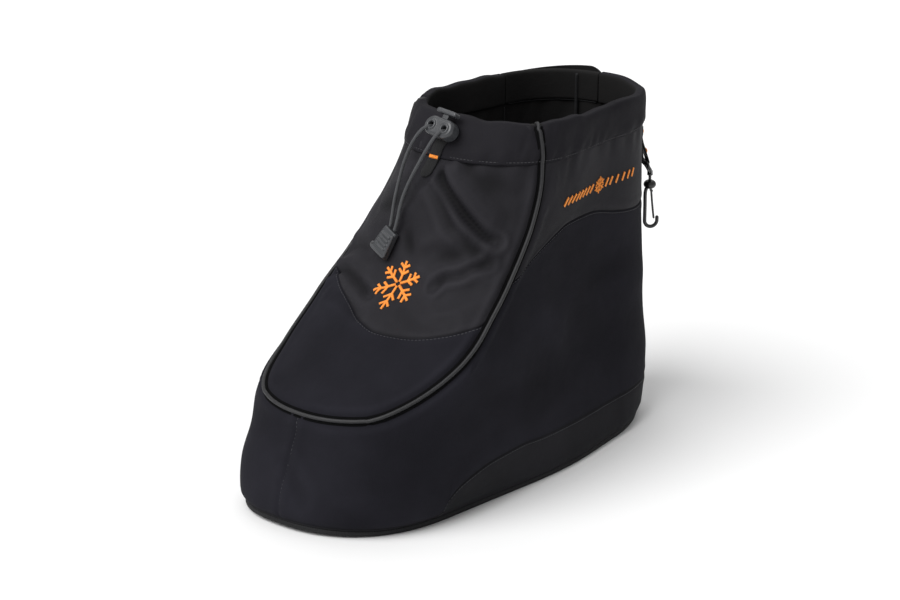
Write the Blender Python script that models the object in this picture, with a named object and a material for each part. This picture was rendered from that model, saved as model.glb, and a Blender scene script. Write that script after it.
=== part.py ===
"""A left winter overshoe: a padded fabric boot cover on a thin sole, with a gathered collar.

Metres, +Z up. The toe points along -Y, the outer (lateral) side is +X, and the shoe stands on
its sole. The upper is one form that every fabric piece follows: a point on it is named by its
level (0 at the floor, 1 at the toe crease, 2 at the rim) and its turn (0 at the toe, going round
by the outer side to 1 at the heel and by the inner side to 2).
"""
import math

import bmesh
import bpy
import numpy as np
from mathutils import Matrix, Vector

# Driving sizes of the shoe
LENGTH = 0.343
BALL_WIDTH = 0.155
HEEL_WIDTH = 0.123
TOE_HEIGHT = 0.080
COLLAR_HEIGHT = 0.250
HEEL_ROUND = 0.070
TOE_BEND = 0.012
ARCH = 0.004
TOE_SPRING = 0.003
RIM_DROP = 0.0055
GAP = 0.0003

# Sole, floor and wall
SOLE = 0.004
SOLE_LIP = 0.0012
SOLE_EDGE = 0.001
INSOLE = 0.005
WALL = 0.0035

# Collar casing and the flap that closes the back
CASING = 0.025
CASING_CLOTH = 0.0013
CASING_PUFF = 0.0014
FLAP_CLOTH = 0.003
FLAP_RISE = 0.006
FLAP_CORNER = 0.010
FLAP_FOOT_LEVEL = 0.85

# Piping and webbing
PIPING_RADIUS = 0.0023
PIPING_SEAT = 0.0005
TAB_WIDTH = 0.008
TAB_CLOTH = 0.0012
TAB_LENGTH = 0.038
TAB_LEAN = -0.011
LOOP_WIDTH = 0.010

# Cord lock
LOCK_SIDE = 0.004
LOCK_DROP = 0.0085
LOCK_ROLL = math.radians(-4.5)
LOCK_LENGTH = 0.025
LOCK_HEIGHT = 0.014
LOCK_DEPTH = 0.011
LOCK_HOLE = 0.0040
LOCK_HOLE_SPACING = 0.0118
BUTTON_LENGTH = 0.017
BUTTON_DEPTH = 0.0065
BUTTON_THICKNESS = 0.0032
BUTTON_TRAVEL = 0.0025
STEM_WIDTH = 0.0046
STEM_DEPTH = 0.0034
STEM_LENGTH = 0.0070
SLIDE_GAP = 0.0004

# Drawcord and its end
CORD = 0.0024
END_LEVEL = 1.505
END_TURN = 1.93
END_SPIN = math.radians(-18)
END_TOP_WIDTH = 0.013
END_FOOT_WIDTH = 0.017
END_LENGTH = 0.019
END_THICKNESS = 0.0052
END_RIB = 0.0009
END_RIBS = 4
END_HOLE_SPACING = 0.0055
END_SEAT = 0.0009

# Clip: its loop, ring, swivel, hook and gate
CLIP_TURN = 0.885
CLIP_HEIGHT = COLLAR_HEIGHT - 0.0645
CLIP_STAND_OFF = 0.0032
SWIVEL_OFFSET = 0.0044
LOOP_RISE = 0.027
RING_BAR = 0.0024
RING_DROP = 0.0085
BALL = 0.0046
BALL_FLAT = 0.75
BALL_DROP = 0.018
POST = 0.0022
POST_HEAD = 0.0038
HOOK_DROP = 0.0515
HOOK_ROD = 0.0027
HOOK_SPINE = 0.0032
HOOK_ROUND = 0.0046
HOOK_TIP = 0.0035
GATE_ROD = 0.0016
GATE_HEAD = 0.0021
GATE_OFFSET = 0.0012

# The form's sections, from the floor up. Levels as above. toe, ball and heel are places along
# LENGTH from the toe, ball_half is a share of half BALL_WIDTH, heel_half of half HEEL_WIDTH, and
# roundness is the power of the toe's curve.
SECTION_COLUMNS = ("level", "toe", "ball", "ball_half", "roundness", "heel_half", "heel")
SECTIONS = (
    (0.00, 0.013, 0.255, 0.84, 2.40, 0.94, 0.975),
    (0.15, 0.001, 0.255, 0.95, 2.40, 1.00, 0.992),
    (0.38, 0.010, 0.260, 1.00, 2.40, 1.00, 0.996),
    (0.75, 0.038, 0.266, 1.00, 2.30, 0.98, 0.998),
    (1.00, 0.056, 0.272, 0.99, 2.20, 0.95, 1.000),
    (1.12, 0.138, 0.296, 0.97, 2.15, 0.93, 0.999),
    (1.26, 0.246, 0.336, 0.93, 2.10, 0.92, 0.996),
    (1.41, 0.330, 0.412, 0.89, 2.10, 0.90, 0.994),
    (1.62, 0.375, 0.520, 0.86, 2.10, 0.90, 0.996),
    (1.79, 0.410, 0.580, 0.83, 2.10, 0.91, 0.998),
    (2.00, 0.470, 0.620, 0.79, 2.10, 0.92, 1.000),
)

# The upper's last rows of points, shared by what lies on the collar
COLLAR_LEVELS = (1.87, 1.94, 2.00)

# Where the toe's curve ends and the heel's begins, in turn
TOE_TURN = 0.38
HEEL_TURN = 0.68
STATIONS = 60

# Half of the piping's U, as level and turn, from the rim down its outer side to the toe
PIPING_PATH = (
    (1.995, 0.238),
    (1.88, 0.282),
    (1.76, 0.303),
    (1.62, 0.323),
    (1.50, 0.334),
    (1.38, 0.338),
    (1.27, 0.306),
    (1.16, 0.258),
    (1.07, 0.196),
    (1.01, 0.130),
    (0.985, 0.060),
    (0.98, 0.000),
)
PIPING_POINTS = 72

# The flap's two upright edges, in turn. The free one is at the back.
FLAP_FREE_TURN = 32 / 30
FLAP_ROOT_TURN = 39 / 30

# The drawcord's strands, from the lock's face to the cord end: side, length, height in metres,
# measured from the middle of the form's length and the floor
CORD_LEFT = (
    (-0.0058, -0.0330, 0.2465),
    (-0.0105, -0.0335, 0.2400),
    (-0.0155, -0.0350, 0.2310),
    (-0.0185, -0.0375, 0.2200),
    (-0.0208, -0.0405, 0.2050),
    (-0.0226, -0.0437, 0.1910),
)
CORD_RIGHT = (
    (0.0066, -0.0335, 0.2440),
    (0.0005, -0.0350, 0.2335),
    (-0.0048, -0.0385, 0.2215),
    (-0.0112, -0.0415, 0.2075),
    (-0.0158, -0.0440, 0.1935),
)
CORD_POINTS = 30


def clear_scene():
    for thing in list(bpy.data.objects):
        bpy.data.objects.remove(thing, do_unlink=True)


def material(name, colour, roughness, metallic=0.0):
    made = bpy.data.materials.new(name)
    made.use_nodes = True
    shader = made.node_tree.nodes["Principled BSDF"]
    shader.inputs["Base Color"].default_value = (*colour, 1.0)
    shader.inputs["Roughness"].default_value = roughness
    shader.inputs["Metallic"].default_value = metallic
    return made


def smoothstep(value):
    held = np.clip(value, 0.0, 1.0)
    return held * held * (3.0 - 2.0 * held)


def smooth_curve(places, values, at):
    """A monotone cubic through the values: no section bulges past its neighbours."""
    places = np.asarray(places, float)
    values = np.asarray(values, float)
    run = np.diff(places)
    slope = np.diff(values) / run
    before = slope[:-1]
    after = slope[1:]
    same = before * after > 0.0
    safe = np.where(same, before + after, 1.0)
    inner = np.where(same, 2.0 * before * after / safe, 0.0)
    tangent = np.concatenate([slope[:1], inner, slope[-1:]])
    at = np.clip(np.asarray(at, float), places[0], places[-1])
    cell = np.clip(np.searchsorted(places, at, side="right") - 1, 0, len(run) - 1)
    share = (at - places[cell]) / run[cell]
    rise = share * share * (3.0 - 2.0 * share)
    out = share * (1.0 - share) ** 2
    into = share * share * (share - 1.0)
    bend = (out * tangent[cell] + into * tangent[cell + 1]) * run[cell]
    return values[cell] * (1.0 - rise) + values[cell + 1] * rise + bend


def through(points, count):
    """Points at even distances on a smooth curve through the given ones."""
    points = np.asarray(points, float)
    first = 2.0 * points[0] - points[1]
    last = 2.0 * points[-1] - points[-2]
    knots = np.vstack([first, points, last])
    fine = []
    for index in range(1, len(knots) - 2):
        a, b, c, d = knots[index - 1:index + 3]
        for share in np.linspace(0.0, 1.0, 24, endpoint=False):
            line = (c - a) * share
            square = (2.0 * a - 5.0 * b + 4.0 * c - d) * share ** 2
            cube = (3.0 * b - a - 3.0 * c + d) * share ** 3
            fine.append(0.5 * (2.0 * b + line + square + cube))
    fine.append(points[-1])
    fine = np.array(fine)
    walked = np.concatenate([[0.0], np.cumsum(np.linalg.norm(np.diff(fine, axis=0), axis=1))])
    wanted = np.linspace(0.0, walked[-1], count)
    return np.column_stack([np.interp(wanted, walked, fine[:, axis]) for axis in range(fine.shape[1])])


def height_of(level):
    level = np.asarray(level, float)
    below = np.minimum(level, 1.0) * TOE_HEIGHT
    above = np.maximum(level - 1.0, 0.0) * (COLLAR_HEIGHT - TOE_HEIGHT)
    return below + above


def level_of(height):
    if height <= TOE_HEIGHT:
        return height / TOE_HEIGHT
    return 1.0 + (height - TOE_HEIGHT) / (COLLAR_HEIGHT - TOE_HEIGHT)


def form(level, turn):
    """The outer face of the upper at a level and turn, as points."""
    level, turn = np.broadcast_arrays(np.asarray(level, float), np.asarray(turn, float))
    turn = np.mod(turn, 2.0)
    side = np.where(turn <= 1.0, 1.0, -1.0)
    along = np.where(turn <= 1.0, turn, 2.0 - turn)
    table = np.array(SECTIONS)
    column = {name: table[:, index] for index, name in enumerate(SECTION_COLUMNS)}
    read = {name: smooth_curve(column["level"], column[name], level) for name in SECTION_COLUMNS[1:]}
    toe = (read["toe"] - 0.5) * LENGTH
    ball = (read["ball"] - 0.5) * LENGTH
    heel = (read["heel"] - 0.5) * LENGTH
    ball_half = read["ball_half"] * BALL_WIDTH / 2
    heel_half = read["heel_half"] * HEEL_WIDTH / 2
    heel_start = heel - HEEL_ROUND
    heel_power = 2.0 / 2.3

    toe_angle = np.clip(along / TOE_TURN, 0.0, 1.0) * math.pi / 2
    toe_x = ball_half * np.sin(toe_angle) ** (2.0 / read["roundness"])
    toe_y = ball - (ball - toe) * np.abs(np.cos(toe_angle)) ** (2.0 / read["roundness"])

    middle = np.clip((along - TOE_TURN) / (HEEL_TURN - TOE_TURN), 0.0, 1.0)
    middle_x = ball_half + (heel_half - ball_half) * smoothstep(middle)
    middle_y = ball + (heel_start - ball) * middle

    heel_angle = np.clip((along - HEEL_TURN) / (1.0 - HEEL_TURN), 0.0, 1.0) * math.pi / 2
    heel_x = heel_half * np.abs(np.cos(heel_angle)) ** heel_power
    heel_y = heel_start + HEEL_ROUND * np.sin(heel_angle) ** heel_power

    x = np.where(along <= TOE_TURN, toe_x, np.where(along <= HEEL_TURN, middle_x, heel_x))
    y = np.where(along <= TOE_TURN, toe_y, np.where(along <= HEEL_TURN, middle_y, heel_y))

    low = np.clip(1.0 - level, 0.0, 1.0)
    waist = np.sin(math.pi * middle) ** 2 * low
    x = x + waist * np.where(side > 0.0, 0.5 * ARCH, -ARCH)
    bend_start = 0.06 * LENGTH
    bend_run = 0.55 * LENGTH
    x = x * side - TOE_BEND * (np.minimum(y - bend_start, 0.0) / bend_run) ** 2

    spring_start = -0.35 * LENGTH
    spring = TOE_SPRING * (np.clip(spring_start - y, 0.0, None) / (0.15 * LENGTH)) ** 2 * low ** 2
    high = np.clip(level - 1.0, 0.0, 1.0) ** 2
    drop = RIM_DROP * high * (y - toe) / LENGTH
    return np.stack([x, y, height_of(level) + spring - drop], axis=-1)


def outward(level, turn, flat=False):
    """The unit normal of the form, or its level part."""
    step = 0.001
    up = form(np.clip(level + step, 0.0, 2.0), turn) - form(np.clip(level - step, 0.0, 2.0), turn)
    around = form(level, np.add(turn, step)) - form(level, np.subtract(turn, step))
    normal = np.cross(around, up)
    if flat:
        normal = normal * np.array([1.0, 1.0, 0.0])
    return normal / np.linalg.norm(normal, axis=-1, keepdims=True)


def skin(level, turn, offset):
    """A point off the form. Near the floor and the rim the offset runs level, for flat edges."""
    level = np.asarray(level, float)
    steep = outward(level, turn)
    flat = outward(level, turn, flat=True)
    floor_blend = smoothstep((level - level_of(SOLE)) / 0.15)
    rim_blend = smoothstep((2.0 - level) / 0.10)
    share = np.asarray(floor_blend * rim_blend)[..., None]
    normal = steep * share + flat * (1.0 - share)
    normal = normal / np.linalg.norm(normal, axis=-1, keepdims=True)
    return form(level, turn) + normal * np.asarray(offset, float)[..., None]


def collar_point(turn, drop, offset):
    """A point at a drop below the rim; a negative drop is above it."""
    level = 2.0 - np.maximum(drop, 0.0) / (COLLAR_HEIGHT - TOE_HEIGHT)
    point = skin(level, turn, offset)
    point[..., 2] += np.maximum(-np.asarray(drop, float), 0.0)
    return point


def add_object(name, points, faces, look, smooth=True):
    mesh = bpy.data.meshes.new(name)
    mesh.from_pydata([tuple(point) for point in points], [], faces)
    made = bpy.data.objects.new(name, mesh)
    bpy.context.scene.collection.objects.link(made)
    mesh.materials.append(look)
    if smooth:
        mesh.shade_smooth()
        mesh.set_sharp_from_angle(angle=math.radians(40))
    return made


def ring_faces(rings, count, closed):
    """Quads between rings of points that each close on themselves."""
    faces = []
    last = rings if closed else rings - 1
    for ring in range(last):
        above = (ring + 1) % rings
        for index in range(count):
            right = (index + 1) % count
            quad = (ring * count + index, ring * count + right, above * count + right, above * count + index)
            faces.append(quad)
    return faces


def sweep(name, profiles, look, smooth=True):
    """A solid through closed profiles in order, with flat ends."""
    count = len(profiles[0])
    points = np.concatenate(profiles)
    faces = ring_faces(len(profiles), count, closed=False)
    start = len(points) - count
    faces.append(tuple(reversed(range(count))))
    faces.append(tuple(start + index for index in range(count)))
    return add_object(name, points, faces, look, smooth)


def face_outward(thing):
    """Turns every face of a closed mesh outward."""
    mesh = bmesh.new()
    mesh.from_mesh(thing.data)
    bmesh.ops.recalc_face_normals(mesh, faces=mesh.faces)
    mesh.to_mesh(thing.data)
    mesh.free()
    return thing


def around_turns():
    return np.arange(STATIONS) * 2.0 / STATIONS


def add_slab(name, rings, look):
    """A solid between stacked rings, closed above and below by rungs from side to side."""
    count = STATIONS
    points = np.concatenate(rings)
    faces = ring_faces(len(rings), count, closed=False)
    top = (len(rings) - 1) * count
    half = count // 2
    for base, turned in ((0, True), (top, False)):
        for index in range(half):
            left = (count - index) % count
            next_left = count - index - 1
            corners = [base + index, base + index + 1, base + next_left, base + left]
            rung = []
            for corner in corners:
                if corner not in rung:
                    rung.append(corner)
            faces.append(tuple(reversed(rung)) if turned else tuple(rung))
    return face_outward(add_object(name, points, faces, look))


def floor_ring(height, offset):
    """A ring of the form's foot at a height over the sole's underside."""
    turns = around_turns()
    level = level_of(SOLE)
    ring = form(level, turns) + outward(level, turns, flat=True) * offset
    ring[:, 2] += height - SOLE
    return ring


def build_outsole(look):
    rings = [
        floor_ring(0.0, SOLE_LIP - SOLE_EDGE),
        floor_ring(SOLE_EDGE, SOLE_LIP),
        floor_ring(SOLE - SOLE_EDGE / 2, SOLE_LIP),
        floor_ring(SOLE, SOLE_LIP - SOLE_EDGE / 2),
    ]
    return add_slab("outsole", rings, look)


def build_insole(look):
    """The padded floor inside the wall: upright sides and a flat top."""
    foot = SOLE + GAP
    rings = []
    for rise, inset in ((0.0, 0.0), (INSOLE - SOLE_EDGE, 0.0), (INSOLE, SOLE_EDGE)):
        rings.append(floor_ring(foot + rise, -(WALL + 2 * GAP + inset)))
    return add_slab("insole", rings, look)


def upper_levels():
    foot = level_of(SOLE + GAP)
    side = np.array([foot, 0.11, 0.20, 0.34, 0.54, 0.73, 0.87, 0.95])
    crease = np.array([1.00, 1.03, 1.07, 1.12, 1.18])
    vamp = np.array([1.25, 1.32, 1.40, 1.48, 1.57, 1.67, 1.77])
    return np.concatenate([side, crease, vamp, COLLAR_LEVELS])


def build_upper(look):
    turns = around_turns()
    levels = upper_levels()
    outer = [form(level, turns) for level in levels]
    inner = [skin(level, turns, np.full(STATIONS, -WALL)) for level in levels]
    rings = outer + inner[::-1]
    faces = ring_faces(len(rings), STATIONS, closed=True)
    return face_outward(add_object("upper", np.concatenate(rings), faces, look))


def casing_profile():
    """The hem's section: (drop, offset) pairs, up the outside, over the rim and down inside."""
    cloth = CASING_CLOTH
    puff = cloth + CASING_PUFF
    inside = -WALL - GAP
    low, middle = [(2.0 - level) * (COLLAR_HEIGHT - TOE_HEIGHT) for level in COLLAR_LEVELS[:2]]
    return (
        (CASING, GAP),
        (CASING, GAP + cloth),
        (0.78 * CASING, GAP + puff),
        (0.45 * CASING, GAP + puff + 0.2 * CASING_PUFF),
        (0.12 * CASING, GAP + puff),
        (-GAP - 0.7 * cloth, 0.6 * cloth),
        (-GAP - cloth, -0.5 * WALL),
        (-GAP - 0.7 * cloth, inside - 0.5 * cloth),
        (0.15 * CASING, inside - 1.3 * cloth),
        (low, inside - cloth),
        (low, inside),
        (middle, inside),
        (-GAP, inside),
        (-GAP, GAP),
        (middle, GAP),
        (low, GAP),
    )


def casing_face(drop):
    """How far the casing's outer face stands off the form at a drop."""
    profile = casing_profile()[1:5]
    drops, offsets = zip(*reversed(profile))
    return np.interp(drop, drops, offsets)


def overlay_seat(drop):
    """The seat of a piece that runs down over the casing's edge on to the shaft."""
    ramp = smoothstep((drop - CASING) / (0.16 * CASING))
    return casing_face(np.minimum(drop, CASING)) * (1.0 - ramp) + GAP


def build_casing(look):
    first = round(FLAP_ROOT_TURN * STATIONS / 2)
    last = round(FLAP_FREE_TURN * STATIONS / 2) + STATIONS
    turns = [2.0 * index / STATIONS for index in range(first, last + 1)]
    edge = 0.0015
    turns[0] += edge
    turns[-1] -= edge
    profiles = []
    for turn in turns:
        section = [collar_point(turn, drop, offset) for drop, offset in casing_profile()]
        profiles.append(np.array(section))
    return face_outward(sweep("collar_casing", profiles, look))


def corner_dip(distance):
    """How far a rounded corner lies below its edge at a distance from the side."""
    held = np.clip(distance, 0.0, FLAP_CORNER)
    return FLAP_CORNER - math.sqrt(FLAP_CORNER ** 2 - (FLAP_CORNER - held) ** 2)


def build_flap(look):
    stations = round((FLAP_ROOT_TURN - FLAP_FREE_TURN) * STATIONS / 2)
    corner = (0.0, 0.015, 0.04, 0.08)
    shares = corner + tuple((index + 1) / stations for index in range(stations))
    rows = (0.0, 0.02, 0.06, 0.14, 0.28, 0.42, 0.56, 0.70, 0.82, 0.91, 0.96, 0.985, 1.0)
    free_width = np.linalg.norm(form(2.0, FLAP_FREE_TURN) - form(2.0, FLAP_ROOT_TURN))
    foot = float(height_of(FLAP_FOOT_LEVEL))
    inner = []
    outer = []
    for share in shares:
        turn = FLAP_FREE_TURN + share * (FLAP_ROOT_TURN - FLAP_FREE_TURN)
        dip = corner_dip(share * free_width)
        rise = FLAP_RISE * (1.0 - smoothstep(share)) - dip
        low = COLLAR_HEIGHT - foot - dip
        cloth = FLAP_CLOTH * (1.0 - 0.6 * smoothstep((share - 0.6) / 0.4))
        for row in rows:
            drop = low + (-rise - low) * row
            inner.append(collar_point(turn, drop, GAP))
            outer.append(collar_point(turn, drop, GAP + cloth))
    height = len(rows)
    width = len(shares)
    points = np.array(inner + outer)
    back = width * height
    faces = []
    for column in range(width - 1):
        for row in range(height - 1):
            near = column * height + row
            far = near + height
            faces.append((near, far, far + 1, near + 1))
            faces.append((back + near, back + near + 1, back + far + 1, back + far))
    border = [column * height for column in range(width)]
    border += [(width - 1) * height + row for row in range(1, height)]
    border += [column * height + height - 1 for column in range(width - 2, -1, -1)]
    border += [row for row in range(height - 2, 0, -1)]
    for here, there in zip(border, border[1:] + border[:1]):
        faces.append((here, there, back + there, back + here))
    return face_outward(add_object("closure_flap", points, faces, look))


def piping_places():
    """The whole U in level and turn, outer side first."""
    outer = [(level, turn) for level, turn in PIPING_PATH]
    inner = [(level, -turn) for level, turn in reversed(PIPING_PATH[:-1])]
    coarse = np.array(outer + inner)
    fine = through(coarse, 400)
    walk = form(fine[:, 0], fine[:, 1])
    walked = np.concatenate([[0.0], np.cumsum(np.linalg.norm(np.diff(walk, axis=0), axis=1))])
    wanted = np.linspace(0.0, walked[-1], PIPING_POINTS)
    return np.column_stack([np.interp(wanted, walked, fine[:, axis]) for axis in (0, 1)])


def build_piping(look):
    places = piping_places()
    drops = (2.0 - places[:, 0]) * (COLLAR_HEIGHT - TOE_HEIGHT)
    seats = overlay_seat(drops) - GAP + PIPING_SEAT
    base = np.array([collar_point(turn, drop, seat) for (_, turn), drop, seat in zip(places, drops, seats)])
    normals = np.array([outward(level, turn) for level, turn in places])
    along = np.gradient(base, axis=0)
    along = along / np.linalg.norm(along, axis=1, keepdims=True)
    sides = np.cross(normals, along)
    sides = sides / np.linalg.norm(sides, axis=1, keepdims=True)
    normals = np.cross(along, sides)
    arc = [math.radians(angle) for angle in (0, 36, 72, 108, 144, 180)]
    profiles = []
    for point, side, normal in zip(base, sides, normals):
        section = []
        for angle in arc:
            reach = side * math.cos(angle) * 1.1
            section.append(point + PIPING_RADIUS * (reach + normal * math.sin(angle)))
        profiles.append(np.array(section))
    return face_outward(sweep("piping", profiles, look))


def build_front_tab(look):
    turn_per_metre = FRONT["turn_per_metre"]
    profiles = []
    rows = (0.10, 0.25, 0.40, 0.52, 0.58, 0.64, 0.72, 0.84, 0.94, 1.0)
    for row in rows:
        drop = row * TAB_LENGTH
        seat = float(overlay_seat(drop))
        half = TAB_WIDTH / 2
        lean = TAB_LEAN * max(0.0, drop - LOCK_DROP - LOCK_HEIGHT / 4) / TAB_LENGTH
        if row > 0.9:
            half = half * math.sqrt(max(0.0, 1.0 - ((row - 0.9) / 0.115) ** 2))
        section = []
        for side, lift in ((-1, 0), (0, 0), (1, 0), (1, TAB_CLOTH), (0, TAB_CLOTH), (-1, TAB_CLOTH)):
            turn = (LOCK_SIDE + lean + side * half) * turn_per_metre
            section.append(collar_point(turn, drop, seat + lift))
        profiles.append(np.array(section))
    return face_outward(sweep("front_tab", profiles, look))


def front_frame():
    """The lock's seat on the front of the collar: its middle, its axes and how turn grows."""
    probe = 0.02
    reach = form(2.0 - LOCK_DROP / (COLLAR_HEIGHT - TOE_HEIGHT), probe)[0]
    turn_per_metre = probe / float(reach)
    turn = LOCK_SIDE * turn_per_metre
    seat = float(overlay_seat(LOCK_DROP)) + TAB_CLOTH + GAP
    low = collar_point(turn, LOCK_DROP + 0.5 * LOCK_HEIGHT, seat)
    high = collar_point(turn, LOCK_DROP - 0.5 * LOCK_HEIGHT, seat)
    up = Vector(high - low).normalized()
    side = Vector((1.0, 0.0, 0.0))
    out = side.cross(up).normalized()
    level = 2.0 - LOCK_DROP / (COLLAR_HEIGHT - TOE_HEIGHT)
    if out.dot(Vector(outward(level, turn))) < 0.0:
        out = -out
    up = Matrix.Rotation(LOCK_ROLL, 3, out) @ up
    side = up.cross(out).normalized()
    middle = Vector((low + high) / 2) + out * (LOCK_DEPTH / 2)
    return {"turn_per_metre": turn_per_metre, "middle": middle, "side": side, "up": up, "out": out}


def place(thing, middle, side, out, up):
    """Puts a piece's own X, Y and Z along the given directions."""
    frame = Matrix((side, out, up)).transposed().to_4x4()
    thing.matrix_world = Matrix.Translation(middle) @ frame
    return thing


def racetrack(length, height, segments):
    """The outline of a bar with round ends, as (x, z) pairs."""
    radius = height / 2
    centre = length / 2 - radius
    points = []
    for end, start in ((1, -90), (-1, 90)):
        for step in range(segments + 1):
            angle = math.radians(start + 180 * step / segments)
            points.append((end * centre + radius * math.cos(angle), radius * math.sin(angle)))
    return points


def add_bar(name, length, depth, height, look, round_share, segments=6):
    """A bar with round ends and softened front and back edges, in its own X, Y and Z."""
    soften = round_share * height
    profiles = []
    for y, inset in ((-depth / 2, soften), (-depth / 2 + soften, 0), (depth / 2 - soften, 0), (depth / 2, soften)):
        outline = racetrack(length - 2 * inset, height - 2 * inset, segments)
        profiles.append(np.array([(x, y, z) for x, z in outline]))
    return face_outward(sweep(name, profiles, look))


def add_cylinder(name, radius, length, axis, look, sides=12):
    mesh = bmesh.new()
    bmesh.ops.create_cone(mesh, cap_ends=True, segments=sides, radius1=radius, radius2=radius, depth=length)
    turn = Vector((0.0, 0.0, 1.0)).rotation_difference(Vector(axis)).to_matrix()
    bmesh.ops.rotate(mesh, cent=(0, 0, 0), matrix=turn, verts=mesh.verts)
    data = bpy.data.meshes.new(name)
    mesh.to_mesh(data)
    mesh.free()
    data.materials.append(look)
    made = bpy.data.objects.new(name, data)
    bpy.context.scene.collection.objects.link(made)
    return made


def add_box(name, size, middle, look):
    mesh = bmesh.new()
    bmesh.ops.create_cube(mesh, size=1.0)
    bmesh.ops.scale(mesh, vec=size, verts=mesh.verts)
    bmesh.ops.translate(mesh, vec=middle, verts=mesh.verts)
    data = bpy.data.meshes.new(name)
    mesh.to_mesh(data)
    mesh.free()
    data.materials.append(look)
    made = bpy.data.objects.new(name, data)
    bpy.context.scene.collection.objects.link(made)
    return made


def combine(base, other, operation):
    """A Boolean of two pieces, made at once; the other piece is used up."""
    modifier = base.modifiers.new(operation.lower(), "BOOLEAN")
    modifier.operation = operation
    modifier.object = other
    bpy.context.view_layer.update()
    evaluated = base.evaluated_get(bpy.context.evaluated_depsgraph_get())
    mesh = bpy.data.meshes.new_from_object(evaluated)
    base.modifiers.clear()
    base.data = mesh
    bpy.data.objects.remove(other, do_unlink=True)
    return base


def build_lock(look):
    body = add_bar("lock_body", LOCK_LENGTH, LOCK_DEPTH, LOCK_HEIGHT, look, 0.10)
    for side in (-1, 1):
        hole = add_cylinder("hole", LOCK_HOLE / 2, 2 * LOCK_DEPTH, (0, 1, 0), look)
        hole.location.x = side * LOCK_HOLE_SPACING / 2
        combine(body, hole, "DIFFERENCE")
    slot_depth = STEM_LENGTH + BUTTON_TRAVEL + SLIDE_GAP
    size = (STEM_WIDTH + 2 * SLIDE_GAP, STEM_DEPTH + 2 * SLIDE_GAP, 2 * (slot_depth - BUTTON_TRAVEL))
    slot = add_box("slot", size, (0, 0, LOCK_HEIGHT / 2), look)
    combine(body, slot, "DIFFERENCE")
    return place(body, FRONT["middle"], FRONT["side"], FRONT["out"], FRONT["up"])


def build_button(look):
    """The lock's button, with its origin where its bar meets its stem."""
    bar = add_bar("lock_button", BUTTON_LENGTH, BUTTON_DEPTH, BUTTON_THICKNESS, look, 0.15, segments=4)
    bar.data.transform(Matrix.Translation((0, 0, BUTTON_THICKNESS / 2)))
    overlap = BUTTON_THICKNESS / 2
    size = (STEM_WIDTH, STEM_DEPTH, STEM_LENGTH + overlap)
    stem = add_box("stem", size, (0, 0, (overlap - STEM_LENGTH) / 2), look)
    combine(bar, stem, "UNION")
    seat = FRONT["middle"] + FRONT["up"] * (LOCK_HEIGHT / 2 + BUTTON_TRAVEL + GAP)
    return place(bar, seat, FRONT["side"], FRONT["out"], FRONT["up"])


def add_rod(name, points, radius, look, resolution=2):
    """A round rod or cord along the points, with filled ends."""
    curve = bpy.data.curves.new(name, "CURVE")
    curve.dimensions = "3D"
    curve.bevel_depth = radius
    curve.bevel_resolution = resolution
    curve.use_fill_caps = True
    spline = curve.splines.new("POLY")
    spline.points.add(len(points) - 1)
    for target, point in zip(spline.points, points):
        target.co = (*point, 1.0)
    curve.materials.append(look)
    made = bpy.data.objects.new(name, curve)
    bpy.context.scene.collection.objects.link(made)
    return made


def as_mesh(thing):
    """The same piece with its curve turned into a mesh, its double points joined."""
    bpy.context.view_layer.update()
    evaluated = thing.evaluated_get(bpy.context.evaluated_depsgraph_get())
    data = bpy.data.meshes.new_from_object(evaluated)
    name = thing.name
    bpy.data.objects.remove(thing, do_unlink=True)
    mesh = bmesh.new()
    mesh.from_mesh(data)
    bmesh.ops.remove_doubles(mesh, verts=mesh.verts, dist=0.00001)
    bmesh.ops.recalc_face_normals(mesh, faces=mesh.faces)
    mesh.to_mesh(data)
    mesh.free()
    made = bpy.data.objects.new(name, data)
    bpy.context.scene.collection.objects.link(made)
    return made


def cord_start(side):
    """Where a strand leaves the casing, behind its hole in the lock."""
    hole = FRONT["middle"] + FRONT["side"] * (side * LOCK_HOLE_SPACING / 2)
    back = LOCK_DEPTH / 2 + TAB_CLOTH
    return hole - FRONT["out"] * back, hole + FRONT["out"] * (LOCK_DEPTH / 2)


def build_cord(name, side, route, look):
    """A strand: straight through its hole in the lock, over the vamp and into the cord end."""
    behind, face = cord_start(side)
    middle, end_side, _, end_up = end_frame()
    tip = middle + end_up * (END_LENGTH / 2 + 2 * GAP) + end_side * (side * END_HOLE_SPACING / 2)
    points = [behind, face, face + FRONT["out"] * CORD] + [Vector(point) for point in route]
    points += [tip + end_up * CORD * 1.5, tip + end_up * CORD * 0.5, tip]
    return add_rod(name, through(points, CORD_POINTS), CORD / 2, look)


def end_frame():
    """The cord end's seat on the vamp."""
    seat = Vector(form(END_LEVEL, END_TURN))
    out = Vector(outward(END_LEVEL, END_TURN))
    up = Vector((0.0, 0.0, 1.0))
    up = (up - out * up.dot(out)).normalized()
    up = Matrix.Rotation(END_SPIN, 3, out) @ up
    side = up.cross(out).normalized()
    return seat + out * (END_THICKNESS / 2 + END_SEAT), side, out, up


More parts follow.
